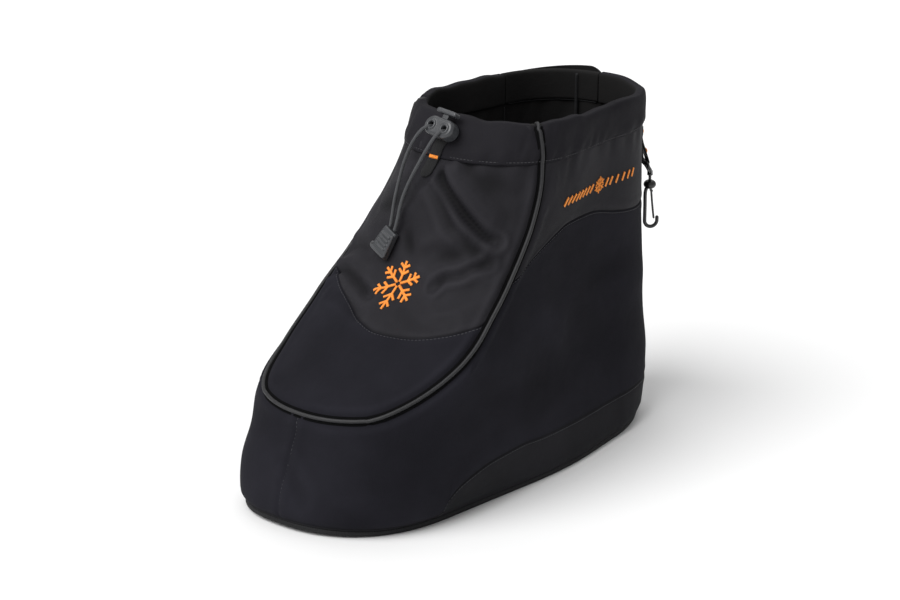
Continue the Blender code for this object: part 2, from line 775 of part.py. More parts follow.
def build_cord_end(look):
    """A flat tapered block: its ribs run across its front, its foot is the wider end."""
    sections = []
    rib_pitch = END_LENGTH * 0.62 / END_RIBS
    low = -END_LENGTH / 2
    marks = [(low, 0.0), (low + 0.10 * END_LENGTH, END_RIB)]
    for rib in range(END_RIBS):
        start = low + 0.20 * END_LENGTH + rib * rib_pitch
        marks.append((start, 0.0))
        marks.append((start + 0.35 * rib_pitch, END_RIB))
        marks.append((start + 0.65 * rib_pitch, END_RIB))
    marks.append((low + 0.86 * END_LENGTH, 0.0))
    marks.append((-low, -END_RIB / 2))
    for height, rise in marks:
        share = (height - low) / END_LENGTH
        half = (END_FOOT_WIDTH + (END_TOP_WIDTH - END_FOOT_WIDTH) * share) / 2
        front = END_THICKNESS / 2 - END_RIB + rise
        back = -END_THICKNESS / 2
        soft = 0.12 * half
        outline = (
            (-half, back + soft), (-half + soft, back), (half - soft, back), (half, back + soft),
            (half, front - soft), (half - soft, front), (-half + soft, front), (-half, front - soft),
        )
        sections.append(np.array([(x, y, height) for x, y in outline]))
    end = face_outward(sweep("cord_end", sections, look))
    middle, side, out, up = end_frame()
    return place(end, middle, side, out, up)


def clip_frame():
    """The clip's pivot and its directions: out from the shoe, along the loop's width, and up."""
    level = level_of(CLIP_HEIGHT)
    out = Vector(outward(level, CLIP_TURN, flat=True))
    up = Vector((0.0, 0.0, 1.0))
    across = up.cross(out).normalized()
    heights = np.linspace(CLIP_HEIGHT - HOOK_DROP, CLIP_HEIGHT, 8)
    reach = max(Vector(form(level_of(height), CLIP_TURN)).dot(out) for height in heights)
    seat = Vector(form(level, CLIP_TURN))
    pivot = seat + out * (reach - seat.dot(out) + CLIP_STAND_OFF)
    pivot.z = CLIP_HEIGHT
    return {"pivot": pivot, "out": out, "across": across, "up": up}


def place_on_clip(thing, drop=0.0, offset=0.0):
    pivot = CLIP["pivot"] - CLIP["up"] * drop + CLIP["out"] * offset
    return place(thing, pivot, CLIP["out"], CLIP["across"], CLIP["up"])


def extrude_side(name, outline, width, look):
    """A prism: its side outline in the clip's out and up directions, its width across."""
    half = width / 2
    profiles = [np.array([(x, y, z) for x, z in outline]) for y in (-half, half)]
    return face_outward(sweep(name, profiles, look))


def build_back_loop(look):
    """Webbing sewn to the shaft, which comes off it and folds round the ring's bar."""
    wrap = RING_BAR / 2 + GAP
    fold = wrap + TAB_CLOTH
    pivot = CLIP["pivot"]
    wall = []
    for rise in (LOOP_RISE, 0.62 * LOOP_RISE):
        point = Vector(form(level_of(CLIP_HEIGHT + rise), CLIP_TURN))
        wall.append(((point - pivot).dot(CLIP["out"]) + GAP, rise))
    outline = list(wall)
    for angle in range(150, 391, 20):
        outline.append((fold * math.cos(math.radians(angle)), fold * math.sin(math.radians(angle))))
    outline.append((wall[1][0] + 2 * TAB_CLOTH, wall[1][1]))
    outline.append((wall[0][0] + 2 * TAB_CLOTH, wall[0][1]))
    loop = extrude_side("back_loop", outline, LOOP_WIDTH, look)
    bore = add_cylinder("bore", wrap, 2 * LOOP_WIDTH, (0, 1, 0), look)
    return place_on_clip(combine(loop, bore, "DIFFERENCE"))


def build_ring(look):
    """The clip's eye: a bar through the loop, two arms and the swivel's post with its head."""
    soft = RING_BAR
    half = LOOP_WIDTH / 2 + GAP + soft
    lean = SWIVEL_OFFSET
    outline = [(0, -half + soft, 0), (0, half - soft, 0), (0.1 * lean, half - 0.3 * soft, -0.3 * soft)]
    outline += [(0.2 * lean, half, -soft), (0.6 * lean, 0.82 * half, -0.6 * RING_DROP)]
    outline += [(lean, 0.3 * half, -RING_DROP), (lean, -0.3 * half, -RING_DROP)]
    outline += [(0.6 * lean, -0.82 * half, -0.6 * RING_DROP), (0.2 * lean, -half, -soft)]
    outline += [(0.1 * lean, -half + 0.3 * soft, -0.3 * soft)]
    rod = add_rod("clip_ring", outline, RING_BAR / 2, look)
    rod.data.splines[0].use_cyclic_u = True
    ring = as_mesh(rod)
    post = add_cylinder("post", POST / 2, BALL_DROP - RING_DROP, (0, 0, 1), look)
    post.location = (lean, 0, -(BALL_DROP + RING_DROP) / 2)
    combine(ring, post, "UNION")
    head = add_cylinder("head", POST_HEAD / 2, POST_HEAD / 2, (0, 0, 1), look)
    head.location = (lean, 0, -BALL_DROP)
    combine(ring, head, "UNION")
    return place_on_clip(ring)


def build_hook(look):
    """The swivelling J: a ball that turns on the post, a straight spine and a round hook."""
    mesh = bmesh.new()
    bmesh.ops.create_uvsphere(mesh, u_segments=14, v_segments=9, radius=BALL)
    bmesh.ops.scale(mesh, vec=(1.0, 1.0, BALL_FLAT), verts=mesh.verts)
    data = bpy.data.meshes.new("clip_hook")
    mesh.to_mesh(data)
    mesh.free()
    data.materials.append(look)
    ball = bpy.data.objects.new("clip_hook", data)
    bpy.context.scene.collection.objects.link(ball)

    bottom = HOOK_DROP - BALL_DROP - HOOK_ROD / 2
    radius = HOOK_ROUND
    centre = radius - HOOK_SPINE
    path = [(-0.7 * HOOK_SPINE, 0, -0.45 * BALL), (-HOOK_SPINE, 0, -1.4 * BALL)]
    path.append((-HOOK_SPINE, 0, -0.5 * bottom))
    for angle in range(180, 361, 20):
        turn = math.radians(angle)
        path.append((centre + radius * math.cos(turn), 0, radius - bottom + radius * math.sin(turn)))
    path.append((centre + radius, 0, radius - bottom + HOOK_TIP))
    combine(ball, as_mesh(add_rod("spine", path, HOOK_ROD / 2, look)), "UNION")
    neck = add_cylinder("neck", POST / 2 + GAP, 2 * BALL, (0, 0, 1), look)
    neck.location.z = BALL
    combine(ball, neck, "DIFFERENCE")
    cavity = add_cylinder("cavity", POST_HEAD / 2 + GAP, POST_HEAD / 2 + 2 * GAP, (0, 0, 1), look)
    combine(ball, cavity, "DIFFERENCE")
    return place_on_clip(ball, BALL_DROP, SWIVEL_OFFSET)


def gate_places():
    """The gate's hinge and tip, out and down from the ball's middle."""
    hinge = (GATE_OFFSET, -(BALL * BALL_FLAT + GAP + GATE_HEAD / 2))
    bottom = HOOK_DROP - BALL_DROP - HOOK_ROD / 2
    inside = 2 * HOOK_ROUND - HOOK_SPINE - HOOK_ROD / 2 - GAP - GATE_ROD / 2
    tip = (inside, HOOK_ROUND - bottom + 0.35 * HOOK_TIP)
    return hinge, tip


def build_gate(look):
    """The springy tongue that closes the hook, with its origin on the line that it bends about."""
    hinge, tip = gate_places()
    reach = (tip[0] - hinge[0], 0, tip[1] - hinge[1])
    rod = as_mesh(add_rod("clip_gate", [(0, 0, 0), [0.5 * value for value in reach], reach], GATE_ROD / 2, look))
    head = add_cylinder("gate_head", GATE_HEAD / 2, HOOK_ROD, (0, 1, 0), look)
    combine(rod, head, "UNION")
    return place_on_clip(rod, BALL_DROP - hinge[1], SWIVEL_OFFSET + hinge[0])


def centre_on_floor(things, held):
    """Moves everything so that the shoe's box stands on the floor about the origin."""
    bpy.context.view_layer.update()
    depsgraph = bpy.context.evaluated_depsgraph_get()
    corners = []
    for thing in held:
        evaluated = thing.evaluated_get(depsgraph)
        mesh = evaluated.to_mesh()
        world = np.array(thing.matrix_world)
        points = np.array([vertex.co for vertex in mesh.vertices])
        corners.append(points @ world[:3, :3].T + world[:3, 3])
        evaluated.to_mesh_clear()
    every = np.concatenate(corners)
    low = every.min(axis=0)
    high = every.max(axis=0)
    middle = Vector(((low[0] + high[0]) / 2, (low[1] + high[1]) / 2, low[2]))
    for thing in things:
        thing.matrix_world = Matrix.Translation(-middle) @ thing.matrix_world
    return middle


def build_looks():
    return {
        "shell": material("shell fabric", (0.030, 0.030, 0.034), 0.85),
        "lining": material("lining fabric", (0.022, 0.022, 0.025), 0.9),
        "sole": material("sole cloth", (0.045, 0.045, 0.048), 0.75),
        "piping": material("piping cloth", (0.028, 0.028, 0.032), 0.6),
        "webbing": material("webbing", (0.012, 0.012, 0.013), 0.8),
        "lock": material("lock plastic", (0.115, 0.118, 0.125), 0.45),
        "cord": material("cord", (0.10, 0.10, 0.105), 0.7),
        "clip": material("clip plastic", (0.010, 0.010, 0.011), 0.35),
    }


def main():
    clear_scene()
    looks = build_looks()
    shoe = [
        build_outsole(looks["sole"]),
        build_insole(looks["lining"]),
        build_upper(looks["shell"]),
        build_casing(looks["shell"].copy()),
        build_flap(looks["shell"].copy()),
        build_piping(looks["piping"]),
        build_front_tab(looks["webbing"]),
        build_lock(looks["lock"]),
        build_button(looks["lock"].copy()),
        build_back_loop(looks["webbing"].copy()),
        build_ring(looks["clip"]),
        build_hook(looks["clip"].copy()),
        build_gate(looks["clip"].copy()),
    ]
    cords = [
        build_cord("drawcord_left", -1, CORD_LEFT, looks["cord"]),
        build_cord("drawcord_right", 1, CORD_RIGHT, looks["cord"].copy()),
        build_cord_end(looks["lock"].copy()),
    ]
    middle = centre_on_floor(shoe + cords, shoe)
    print("form moved by", [round(-value, 6) for value in middle])


FRONT = front_frame()
CLIP = clip_frame()
main()
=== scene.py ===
# %% [markdown]
# A winter overshoe for the left foot: a padded fabric cover that goes over a boot. This lesson
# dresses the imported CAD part. Every fabric piece follows one form, so that form comes first. A
# place on it is a level (0 at the floor, 1 at the toe crease, 2 at the rim) and a turn (0 at the
# toe, round by the outer side to 1 at the heel, and back by the inner side, also as negative).

# %% The frame
import math

import bmesh
import bpy
import numpy as np
from mathutils import Matrix, Vector


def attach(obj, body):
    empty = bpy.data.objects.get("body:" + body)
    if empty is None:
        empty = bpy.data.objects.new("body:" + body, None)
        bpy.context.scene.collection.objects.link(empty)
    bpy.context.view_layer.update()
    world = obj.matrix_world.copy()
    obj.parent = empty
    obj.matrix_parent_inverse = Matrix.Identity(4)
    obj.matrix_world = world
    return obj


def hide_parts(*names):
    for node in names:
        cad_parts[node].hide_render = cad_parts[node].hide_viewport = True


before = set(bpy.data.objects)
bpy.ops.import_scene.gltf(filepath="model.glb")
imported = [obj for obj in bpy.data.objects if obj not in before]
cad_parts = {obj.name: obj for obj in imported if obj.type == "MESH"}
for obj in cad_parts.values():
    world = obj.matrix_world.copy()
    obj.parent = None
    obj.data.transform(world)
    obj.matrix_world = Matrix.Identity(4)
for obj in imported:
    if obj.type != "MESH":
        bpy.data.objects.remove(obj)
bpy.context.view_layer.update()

# %% [markdown]
# The camera stands where the photographer stood: about 41 degrees round to the outer side of the
# toe and 20 degrees up, with a long lens. Its aim is the middle of the shoe, so the one shoe fills
# the frame, and the shift only centres it.

# %% The camera
CAMERA_AZIMUTH = math.radians(40.6)
CAMERA_ELEVATION = math.radians(20.0)
CAMERA_DISTANCE = 1.891
CAMERA_LENS = 109.5
AIM = Vector((0.0033, -0.0023, 0.12))
CAMERA_SHIFT = (-0.0111, -0.0056)

back = Vector((
    math.sin(CAMERA_AZIMUTH) * math.cos(CAMERA_ELEVATION),
    -math.cos(CAMERA_AZIMUTH) * math.cos(CAMERA_ELEVATION),
    math.sin(CAMERA_ELEVATION),
))
camera = bpy.data.objects.new("camera", bpy.data.cameras.new("camera"))
bpy.context.scene.collection.objects.link(camera)
camera.location = AIM + back * CAMERA_DISTANCE
camera.rotation_mode = "QUATERNION"
camera.rotation_quaternion = (-back).to_track_quat("-Z", "Y")
camera.data.lens = CAMERA_LENS
camera.data.sensor_width = 36.0
camera.data.shift_x, camera.data.shift_y = CAMERA_SHIFT
camera.data.clip_start = 0.05
camera.data.clip_end = 50.0
bpy.context.scene.camera = camera
print("camera at", [round(value, 3) for value in camera.location])

# %% [markdown]
# The form is a stack of closed curves: a round toe, a nearly straight middle and a round heel,
# whose sizes change with the level. A rule like this is better than a sculpted mesh, because any
# seam, stitch or crease can then be put at a level and a turn. The sizes are those of the CAD part.

# %% Sizes of the form
LENGTH = 0.343
BALL_WIDTH = 0.155
HEEL_WIDTH = 0.123
TOE_HEIGHT = 0.08
COLLAR_HEIGHT = 0.25
HEEL_ROUND = 0.07
TOE_BEND = 0.012
ARCH = 0.004
TOE_SPRING = 0.003
RIM_DROP = 0.0165
GAP = 0.0003
SOLE = 0.004
INSOLE = 0.005
WALL = 0.0045
TOE_TURN = 0.38
HEEL_TURN = 0.68
FORM_SHIFT = np.array([0.003332, -0.001818, 0.0])
SECTION_COLUMNS = ("level", "toe", "ball", "ball_half", "roundness", "heel_half", "heel")
SECTIONS = np.array((
    (0.0, 0.013, 0.255, 0.84, 2.4, 0.94, 0.975),
    (0.15, 0.001, 0.255, 0.95, 2.4, 1.0, 0.992),
    (0.38, 0.01, 0.26, 1.0, 2.4, 1.0, 0.996),
    (0.75, 0.038, 0.266, 1.0, 2.3, 0.98, 0.998),
    (1.0, 0.056, 0.272, 0.99, 2.2, 0.95, 1.0),
    (1.12, 0.138, 0.296, 0.97, 2.15, 0.93, 0.999),
    (1.26, 0.246, 0.336, 0.93, 2.1, 0.92, 0.996),
    (1.41, 0.33, 0.412, 0.89, 2.1, 0.9, 0.994),
    (1.62, 0.375, 0.52, 0.86, 2.1, 0.9, 0.996),
    (1.79, 0.41, 0.58, 0.83, 2.1, 0.91, 0.998),
    (2.0, 0.47, 0.62, 0.79, 2.1, 0.92, 1.0),
))
print("sections:", len(SECTIONS), "levels,", len(SECTION_COLUMNS), "columns")

# %% [markdown]
# Two small rules come first. smoothstep eases from 0 to 1, for every soft fade. smooth_curve runs
# through a table's values and never overshoots them, as a plain spline would, so no bump appears
# between two sections of the shoe.

# %% Eased steps and smooth tables
def smoothstep(value):
    held = np.clip(value, 0.0, 1.0)
    return held * held * (3.0 - 2.0 * held)


def smooth_curve(places, values, at):
    """A monotone cubic through the values."""
    places, values = np.asarray(places, float), np.asarray(values, float)
    run = np.diff(places)
    slope = np.diff(values) / run
    product = slope[:-1] * slope[1:]
    total = np.where(product > 0.0, slope[:-1] + slope[1:], 1.0)
    inner = np.where(product > 0.0, 2.0 * product / total, 0.0)
    tangent = np.concatenate([slope[:1], inner, slope[-1:]])
    at = np.clip(np.asarray(at, float), places[0], places[-1])
    cell = np.clip(np.searchsorted(places, at, side="right") - 1, 0, len(run) - 1)
    share = (at - places[cell]) / run[cell]
    rise = share * share * (3.0 - 2.0 * share)
    out = share * (1.0 - share) ** 2
    into = share * share * (share - 1.0)
    bend = (out * tangent[cell] + into * tangent[cell + 1]) * run[cell]
    return values[cell] * (1.0 - rise) + values[cell + 1] * rise + bend


print("eased quarter:", float(smoothstep(0.25)))

# %% [markdown]
# A level is a share of the height: 0 to 1 is the foot, 1 to 2 the shaft. The outer face at a level
# could be drawn as a curve, but a rule keeps every size adjustable: a quarter of a rounded oval for
# the toe, an eased line along the side, and another quarter for the heel. Then the collar and the
# waist are drawn in, the toe bends to the inner side, and the rim falls towards the heel.

# %% The form
COLLAR_DRAWN_IN = 0.0055
HEEL_DRAWN_IN = 0.0038
HEEL_POWER = 2.0 / 2.3
SHAFT = COLLAR_HEIGHT - TOE_HEIGHT


def height_of(level):
    level = np.asarray(level, float)
    above = np.maximum(level - 1.0, 0.0) * SHAFT
    return np.minimum(level, 1.0) * TOE_HEIGHT + above


def level_of(height):
    if height <= TOE_HEIGHT:
        return height / TOE_HEIGHT
    return 1.0 + (height - TOE_HEIGHT) / SHAFT


def form(level, turn):
    """The outer face of the upper at a level and turn, as points."""
    level, turn = np.broadcast_arrays(np.asarray(level, float), np.asarray(turn, float))
    turn = np.mod(turn, 2.0)
    side = np.where(turn <= 1.0, 1.0, -1.0)
    along = np.where(turn <= 1.0, turn, 2.0 - turn)
    read = {}
    for index, name in enumerate(SECTION_COLUMNS[1:], start=1):
        read[name] = smooth_curve(SECTIONS[:, 0], SECTIONS[:, index], level)
    toe, ball, heel = [(read[name] - 0.5) * LENGTH for name in ("toe", "ball", "heel")]
    ball_half = read["ball_half"] * BALL_WIDTH / 2
    heel_half = read["heel_half"] * HEEL_WIDTH / 2
    heel_start = heel - HEEL_ROUND
    toe_power = 2.0 / read["roundness"]

    toe_angle = np.clip(along / TOE_TURN, 0.0, 1.0) * math.pi / 2
    toe_x = ball_half * np.sin(toe_angle) ** toe_power
    toe_y = ball - (ball - toe) * np.abs(np.cos(toe_angle)) ** toe_power
    middle = np.clip((along - TOE_TURN) / (HEEL_TURN - TOE_TURN), 0.0, 1.0)
    middle_x = ball_half + (heel_half - ball_half) * smoothstep(middle)
    middle_y = ball + (heel_start - ball) * middle
    heel_angle = np.clip((along - HEEL_TURN) / (1.0 - HEEL_TURN), 0.0, 1.0) * math.pi / 2
    heel_x = heel_half * np.abs(np.cos(heel_angle)) ** HEEL_POWER
    heel_y = heel_start + HEEL_ROUND * np.sin(heel_angle) ** HEEL_POWER
    x = np.where(along <= TOE_TURN, toe_x, np.where(along <= HEEL_TURN, middle_x, heel_x))
    y = np.where(along <= TOE_TURN, toe_y, np.where(along <= HEEL_TURN, middle_y, heel_y))

    # the cloth gives a little: the collar is drawn in on the inner side and at the heel
    high = smoothstep((level - 1.35) / 0.5)
    inner = np.where(side < 0.0, COLLAR_DRAWN_IN, 0.0)
    x = x - inner * np.exp(-((along - 0.27) / 0.12) ** 2) * high
    y = y - HEEL_DRAWN_IN * high * smoothstep((along - 0.55) / 0.3)
    low = np.clip(1.0 - level, 0.0, 1.0)
    waist = np.sin(math.pi * middle) ** 2 * low
    x = x + waist * np.where(side > 0.0, 0.5 * ARCH, -ARCH)
    bend = np.minimum(y - 0.06 * LENGTH, 0.0) / (0.55 * LENGTH)
    x = x * side - TOE_BEND * bend ** 2
    ahead = np.clip(-0.35 * LENGTH - y, 0.0, None) / (0.15 * LENGTH)
    spring = TOE_SPRING * ahead ** 2 * low ** 2
    drop = RIM_DROP * np.clip(level - 1.0, 0.0, 1.0) ** 2 * (y - toe) / LENGTH
    return np.stack([x, y, height_of(level) + spring - drop], axis=-1) + FORM_SHIFT


print("toe tip", np.round(form(0.15, 0.0), 4), "rim front", np.round(form(2.0, 0.0), 4))

# %% [markdown]
# Cloth has thickness, and pieces lie on it, so points off the form are needed too. They are found
# along the form's own normal. Near the floor and the rim the offset runs level, so that the sole
# stays flat and the rim stays at its height.

# %% Points off the form
def outward(level, turn, flat=False):
    """The unit normal of the form, or its level part."""
    step = 0.001
    up = form(np.clip(level + step, 0.0, 2.0), turn) - form(np.clip(level - step, 0.0, 2.0), turn)
    around = form(level, np.add(turn, step)) - form(level, np.subtract(turn, step))
    normal = np.cross(around, up)
    if flat:
        normal = normal * np.array([1.0, 1.0, 0.0])
    return normal / np.linalg.norm(normal, axis=-1, keepdims=True)


def skin(level, turn, offset):
    """A point off the form. Near the floor and the rim the offset runs level."""
    level = np.asarray(level, float)
    steep, flat = outward(level, turn), outward(level, turn, flat=True)
    share = smoothstep((level - level_of(SOLE)) / 0.15) * smoothstep((2.0 - level) / 0.1)
    share = np.asarray(share)[..., None]
    normal = steep * share + flat * (1.0 - share)
    normal = normal / np.linalg.norm(normal, axis=-1, keepdims=True)
    return form(level, turn) + normal * np.asarray(offset, float)[..., None]


def collar_point(turn, drop, offset):
    """A point at a drop below the rim; a negative drop is above it."""
    level = 2.0 - np.maximum(drop, 0.0) / SHAFT
    point = skin(level, turn, offset)
    point[..., 2] += np.maximum(-np.asarray(drop, float), 0.0)
    return point


print("wall inside the rim at", np.round(collar_point(np.array([0.0]), 0.0, np.array([-WALL])), 4))

# %% [markdown]
# A cord, a seam or a crease is given by a few places and then needs many points. This curve passes
# through each place and comes back at even distances, which keeps swept sections even too.

# %% Even points on a smooth curve
def walked(line):
    """The distance walked along a line at each of its points."""
    return np.concatenate([[0.0], np.cumsum(np.linalg.norm(np.diff(line, axis=0), axis=1))])


def resampled(line, count, endpoint=True):
    run = walked(line)
    wanted = np.linspace(0.0, run[-1], count, endpoint=endpoint)
    return np.column_stack([np.interp(wanted, run, line[:, axis]) for axis in range(line.shape[1])])


def through(points, count):
    """Points at even distances on a smooth curve through the given ones."""
    points = np.asarray(points, float)
    knots = np.vstack([2.0 * points[0] - points[1], points, 2.0 * points[-1] - points[-2]])
    fine = []
    for index in range(1, len(knots) - 2):
        a, b, c, d = knots[index - 1:index + 3]
        for share in np.linspace(0.0, 1.0, 24, endpoint=False):
            square = (2.0 * a - 5.0 * b + 4.0 * c - d) * share ** 2
            cube = (3.0 * b - a - 3.0 * c + d) * share ** 3
            fine.append(0.5 * (2.0 * b + (c - a) * share + square + cube))
    fine = np.array(fine + [points[-1]])
    return resampled(fine, count)


print("half way on a bend:", np.round(through([(0, 0), (1, 1), (2, 0)], 5)[2], 3))

# %% [markdown]
# Every finish is a small node tree on one shader. An image of cloth would be quicker, but a tree
# has no edges or repeats and stays sharp close up. Values that are the same all over are set on the
# shader's own sockets. The colour wanders slowly between two shades, as cloth does when its nap
# lies one way or the other.

# %% A finish and its colour
def new_finish(name, colour, roughness, sheen=0.0, coat=0.0, gloss=0.5):
    made = bpy.data.materials.new(name)
    made.use_nodes = True
    tree = made.node_tree
    shader = tree.nodes["Principled BSDF"]
    shader.inputs["Base Color"].default_value = (*colour, 1.0)
    shader.inputs["Roughness"].default_value = roughness
    shader.inputs["Sheen Weight"].default_value = sheen
    shader.inputs["Sheen Roughness"].default_value = 0.4
    shader.inputs["Specular IOR Level"].default_value = gloss
    shader.inputs["Coat Weight"].default_value = coat
    return made, tree, shader


def node(tree, kind, links=(), **values):
    """A node with its sockets set, and linked from (socket name, output) pairs."""
    made = tree.nodes.new(kind)
    for name, value in values.items():
        if hasattr(made, name):
            setattr(made, name, value)
        else:
            made.inputs[name.replace("_", " ")].default_value = value
    for name, output in links:
        tree.links.new(output, made.inputs[name])
    return made


def vary_colour(tree, shader, colour, amount, scale, painted_light=False):
    """Slow patches of two shades, times painted shade in folds and seams and painted ridge
    highlights.
    """
    place = node(tree, "ShaderNodeTexCoord")
    here = [("Vector", place.outputs["Object"])]
    patches = node(tree, "ShaderNodeTexNoise", here, Scale=scale, Detail=4.0)
    ramp = node(tree, "ShaderNodeValToRGB", [("Fac", patches.outputs["Fac"])])
    factors = (1.0 - amount, 1.0 + amount)
    for stop, at, factor in zip(ramp.color_ramp.elements, (0.32, 0.68), factors):
        stop.position = at
        stop.color = (*(channel * factor for channel in colour), 1.0)
    if not painted_light:
        tree.links.new(ramp.outputs["Color"], shader.inputs["Base Color"])
        return place
    # painted shade in the troughs and seams and a painted highlight on the ridges, from the shade
    # attribute
    shade = node(tree, "ShaderNodeAttribute", attribute_name="shade")
    both = [(0, ramp.outputs["Color"]), (1, shade.outputs["Fac"])]
    dark = node(tree, "ShaderNodeVectorMath", both, operation="MULTIPLY")
    tree.links.new(dark.outputs["Vector"], shader.inputs["Base Color"])
    return place


def add_bump(tree, shader, height, depth, before=None):
    """A bump of that depth in metres, on top of one that is there."""
    bump = node(tree, "ShaderNodeBump", [("Height", height)], Strength=1.0, Distance=depth)
    if before is not None:
        tree.links.new(before.outputs["Normal"], bump.inputs["Normal"])
    tree.links.new(bump.outputs["Normal"], shader.inputs["Normal"])
    return bump


print("finish helpers ready")

# %% [markdown]
# Cloth shows three scales: threads, a fuzz of single fibres, and soft patches where the padding
# pushes. Each is a bump in metres on top of the one before. The threads are two crossed sets of
# waves on a UV map in metres, so the weave is as fine as the real one and follows each panel.

# %% Cloth
WAVES_PER_THREAD = 0.314
FIBRES_PER_METRE = 1400.0
PADDING_PER_METRE = 140.0
PADDING_BUMP = 0.0004


def cloth(
    name, colour, roughness, sheen, thread, weave, nap,
    amount=0.16, slant=0.0, gloss=0.25, painted_light=False,
):
    """Cloth: thread is the weave's pitch and weave and nap are bump depths, all in metres."""
    made, tree, shader = new_finish(name, colour, roughness, sheen, gloss=gloss)
    place = vary_colour(tree, shader, colour, amount, 22.0, painted_light)
    flat = node(tree, "ShaderNodeUVMap", uv_map="cloth")
    turned = node(tree, "ShaderNodeMapping", [("Vector", flat.outputs["UV"])])
    turned.inputs["Rotation"].default_value = (0.0, 0.0, slant)
    turned.inputs["Scale"].default_value = (1.0 / thread, 1.0 / thread, 1.0)
    bands = []
    for direction in ("X", "Y"):
        turned_place = [("Vector", turned.outputs["Vector"])]
        wave = node(tree, "ShaderNodeTexWave", turned_place, Scale=WAVES_PER_THREAD)
        wave.bands_direction = direction
        bands.append(wave.outputs["Fac"])
    woven = node(tree, "ShaderNodeMath", [(0, bands[0]), (1, bands[1])], operation="MAXIMUM")
    first = add_bump(tree, shader, woven.outputs["Value"], weave)
    spot = [("Vector", place.outputs["Object"])]
    fuzz = node(tree, "ShaderNodeTexNoise", spot, Scale=FIBRES_PER_METRE, Detail=3.0)
    second = add_bump(tree, shader, fuzz.outputs["Fac"], nap, first)
    soft = node(tree, "ShaderNodeTexNoise", spot, Scale=PADDING_PER_METRE, Detail=5.0)
    add_bump(tree, shader, soft.outputs["Fac"], PADDING_BUMP, second)
    return made


print("threads of 0.7 mm:", round(1 / 0.0007), "to the metre")

# %% [markdown]
# Moulded plastic has a fine spark grain from the tool and a gloss that hands have rubbed unevenly.
# Noise drives both: one at a very small scale as bump, one at a larger scale on the roughness.

# %% Moulded plastic
def plastic(name, colour, roughness, grain, coat=0.0):
    """Moulded plastic with a fine grain and a gloss that varies with wear."""
    made, tree, shader = new_finish(name, colour, roughness, coat=coat)
    place = vary_colour(tree, shader, colour, 0.1, 90.0)
    spot = [("Vector", place.outputs["Object"])]
    rub = node(tree, "ShaderNodeTexNoise", spot, Scale=260.0, Detail=4.0)
    span = node(tree, "ShaderNodeMapRange", [("Value", rub.outputs["Fac"])])
    span.inputs["To Min"].default_value = roughness - 0.08
    span.inputs["To Max"].default_value = roughness + 0.1
    tree.links.new(span.outputs["Result"], shader.inputs["Roughness"])
    fine = node(tree, "ShaderNodeTexNoise", spot, Scale=2600.0, Detail=2.0)
    add_bump(tree, shader, fine.outputs["Fac"], grain)
    return made


print("plastic finish ready")

# %% [markdown]
# The shoe is nearly all black, so the cloths are told apart by gloss and nap more than by colour:
# smooth and a little brighter above, brushed below, tighter along the foot. Each row gives colour,
# roughness, sheen, thread pitch, weave depth and nap depth. The orange is embroidery thread.

# %% The finishes
# The smooth, brushed and rand cloths take painted shade in creases and seams and a painted
# highlight on ridges.
SMOOTH = cloth(
    "smooth cloth", (0.0168, 0.0161, 0.019), 0.64, 0.0, 0.0007, 0.00006, 0.00002, gloss=0.08,
    painted_light=True,
)
BRUSHED = cloth(
    "brushed cloth", (0.0118, 0.0115, 0.0152), 0.95, 0.012, 0.0009, 0.00003, 0.00012, gloss=0.08,
    painted_light=True,
)
RAND = cloth(
    "rand cloth", (0.011, 0.0108, 0.0128), 0.85, 0.006, 0.0008, 0.00006, 0.00006, gloss=0.12,
    painted_light=True,
)
LINING = cloth(
    "lining cloth", (0.011, 0.0106, 0.0106), 0.9, 0.0, 0.0012, 0.00006, 0.0001, gloss=0.15,
)
HEM = cloth("hem cloth", (0.0135, 0.0128, 0.0155), 0.72, 0.0, 0.0007, 0.00006, 0.00002, gloss=0.07)
# painted shadow: a near-black cloth for the piping's flange, standing in for the shade of its
# groove
PAINTED_GROOVE_SHADOW = cloth(
    "painted groove shadow", (0.003, 0.003, 0.0032), 0.9, 0.0, 0.0007, 0.00006, 0.00002, gloss=0.05,
)
PIPING = cloth(
    "piping cloth", (0.012, 0.012, 0.0135), 0.48, 0.0, 0.0006, 0.00006, 0.00002, slant=0.7,
    gloss=0.4,
)
BINDING = cloth(
    "binding tape", (0.011, 0.011, 0.012), 0.65, 0.0, 0.001, 0.0001, 0.00003, gloss=0.3,
)
WEBBING = cloth(
    "webbing", (0.007, 0.007, 0.0076), 0.7, 0.0, 0.0011, 0.00018, 0.00003, slant=0.785, gloss=0.3,
)
SOLE_CLOTH = cloth(
    "coated sole cloth", (0.013, 0.013, 0.014), 0.7, 0.0, 0.0016, 0.0002, 0.00004, gloss=0.2,
)
THREAD = cloth(
    "dark thread", (0.055, 0.055, 0.06), 0.55, 0.0, 0.0003, 0.00003, 0.00001, gloss=0.4,
)
ORANGE = cloth(
    "orange thread", (0.95, 0.33, 0.045), 0.55, 0.1, 0.0004, 0.00005, 0.00001, amount=0.1,
    gloss=0.4,
)
BRAID = cloth(
    "braided cord", (0.055, 0.057, 0.061), 0.6, 0.05, 0.0007, 0.0002, 0.00002, slant=0.6,
    gloss=0.35,
)
LOCK_PLASTIC = plastic("lock plastic", (0.037, 0.039, 0.043), 0.3, 0.00002)
CLIP_PLASTIC = plastic("clip plastic", (0.0045, 0.0045, 0.005), 0.3, 0.00001, coat=0.2)
print("finishes:", len([m for m in bpy.data.materials if m.use_nodes]))

# %% [markdown]
# Most pieces are made from rows of points, because cloth is a surface with two directions. One
# helper turns rows into faces, one closes the ends of a swept section, and one makes the object
# with its UV map in metres, so that a weave has its real size. Another puts a finished piece on
# its body and hides the CAD nodes that it stands for.

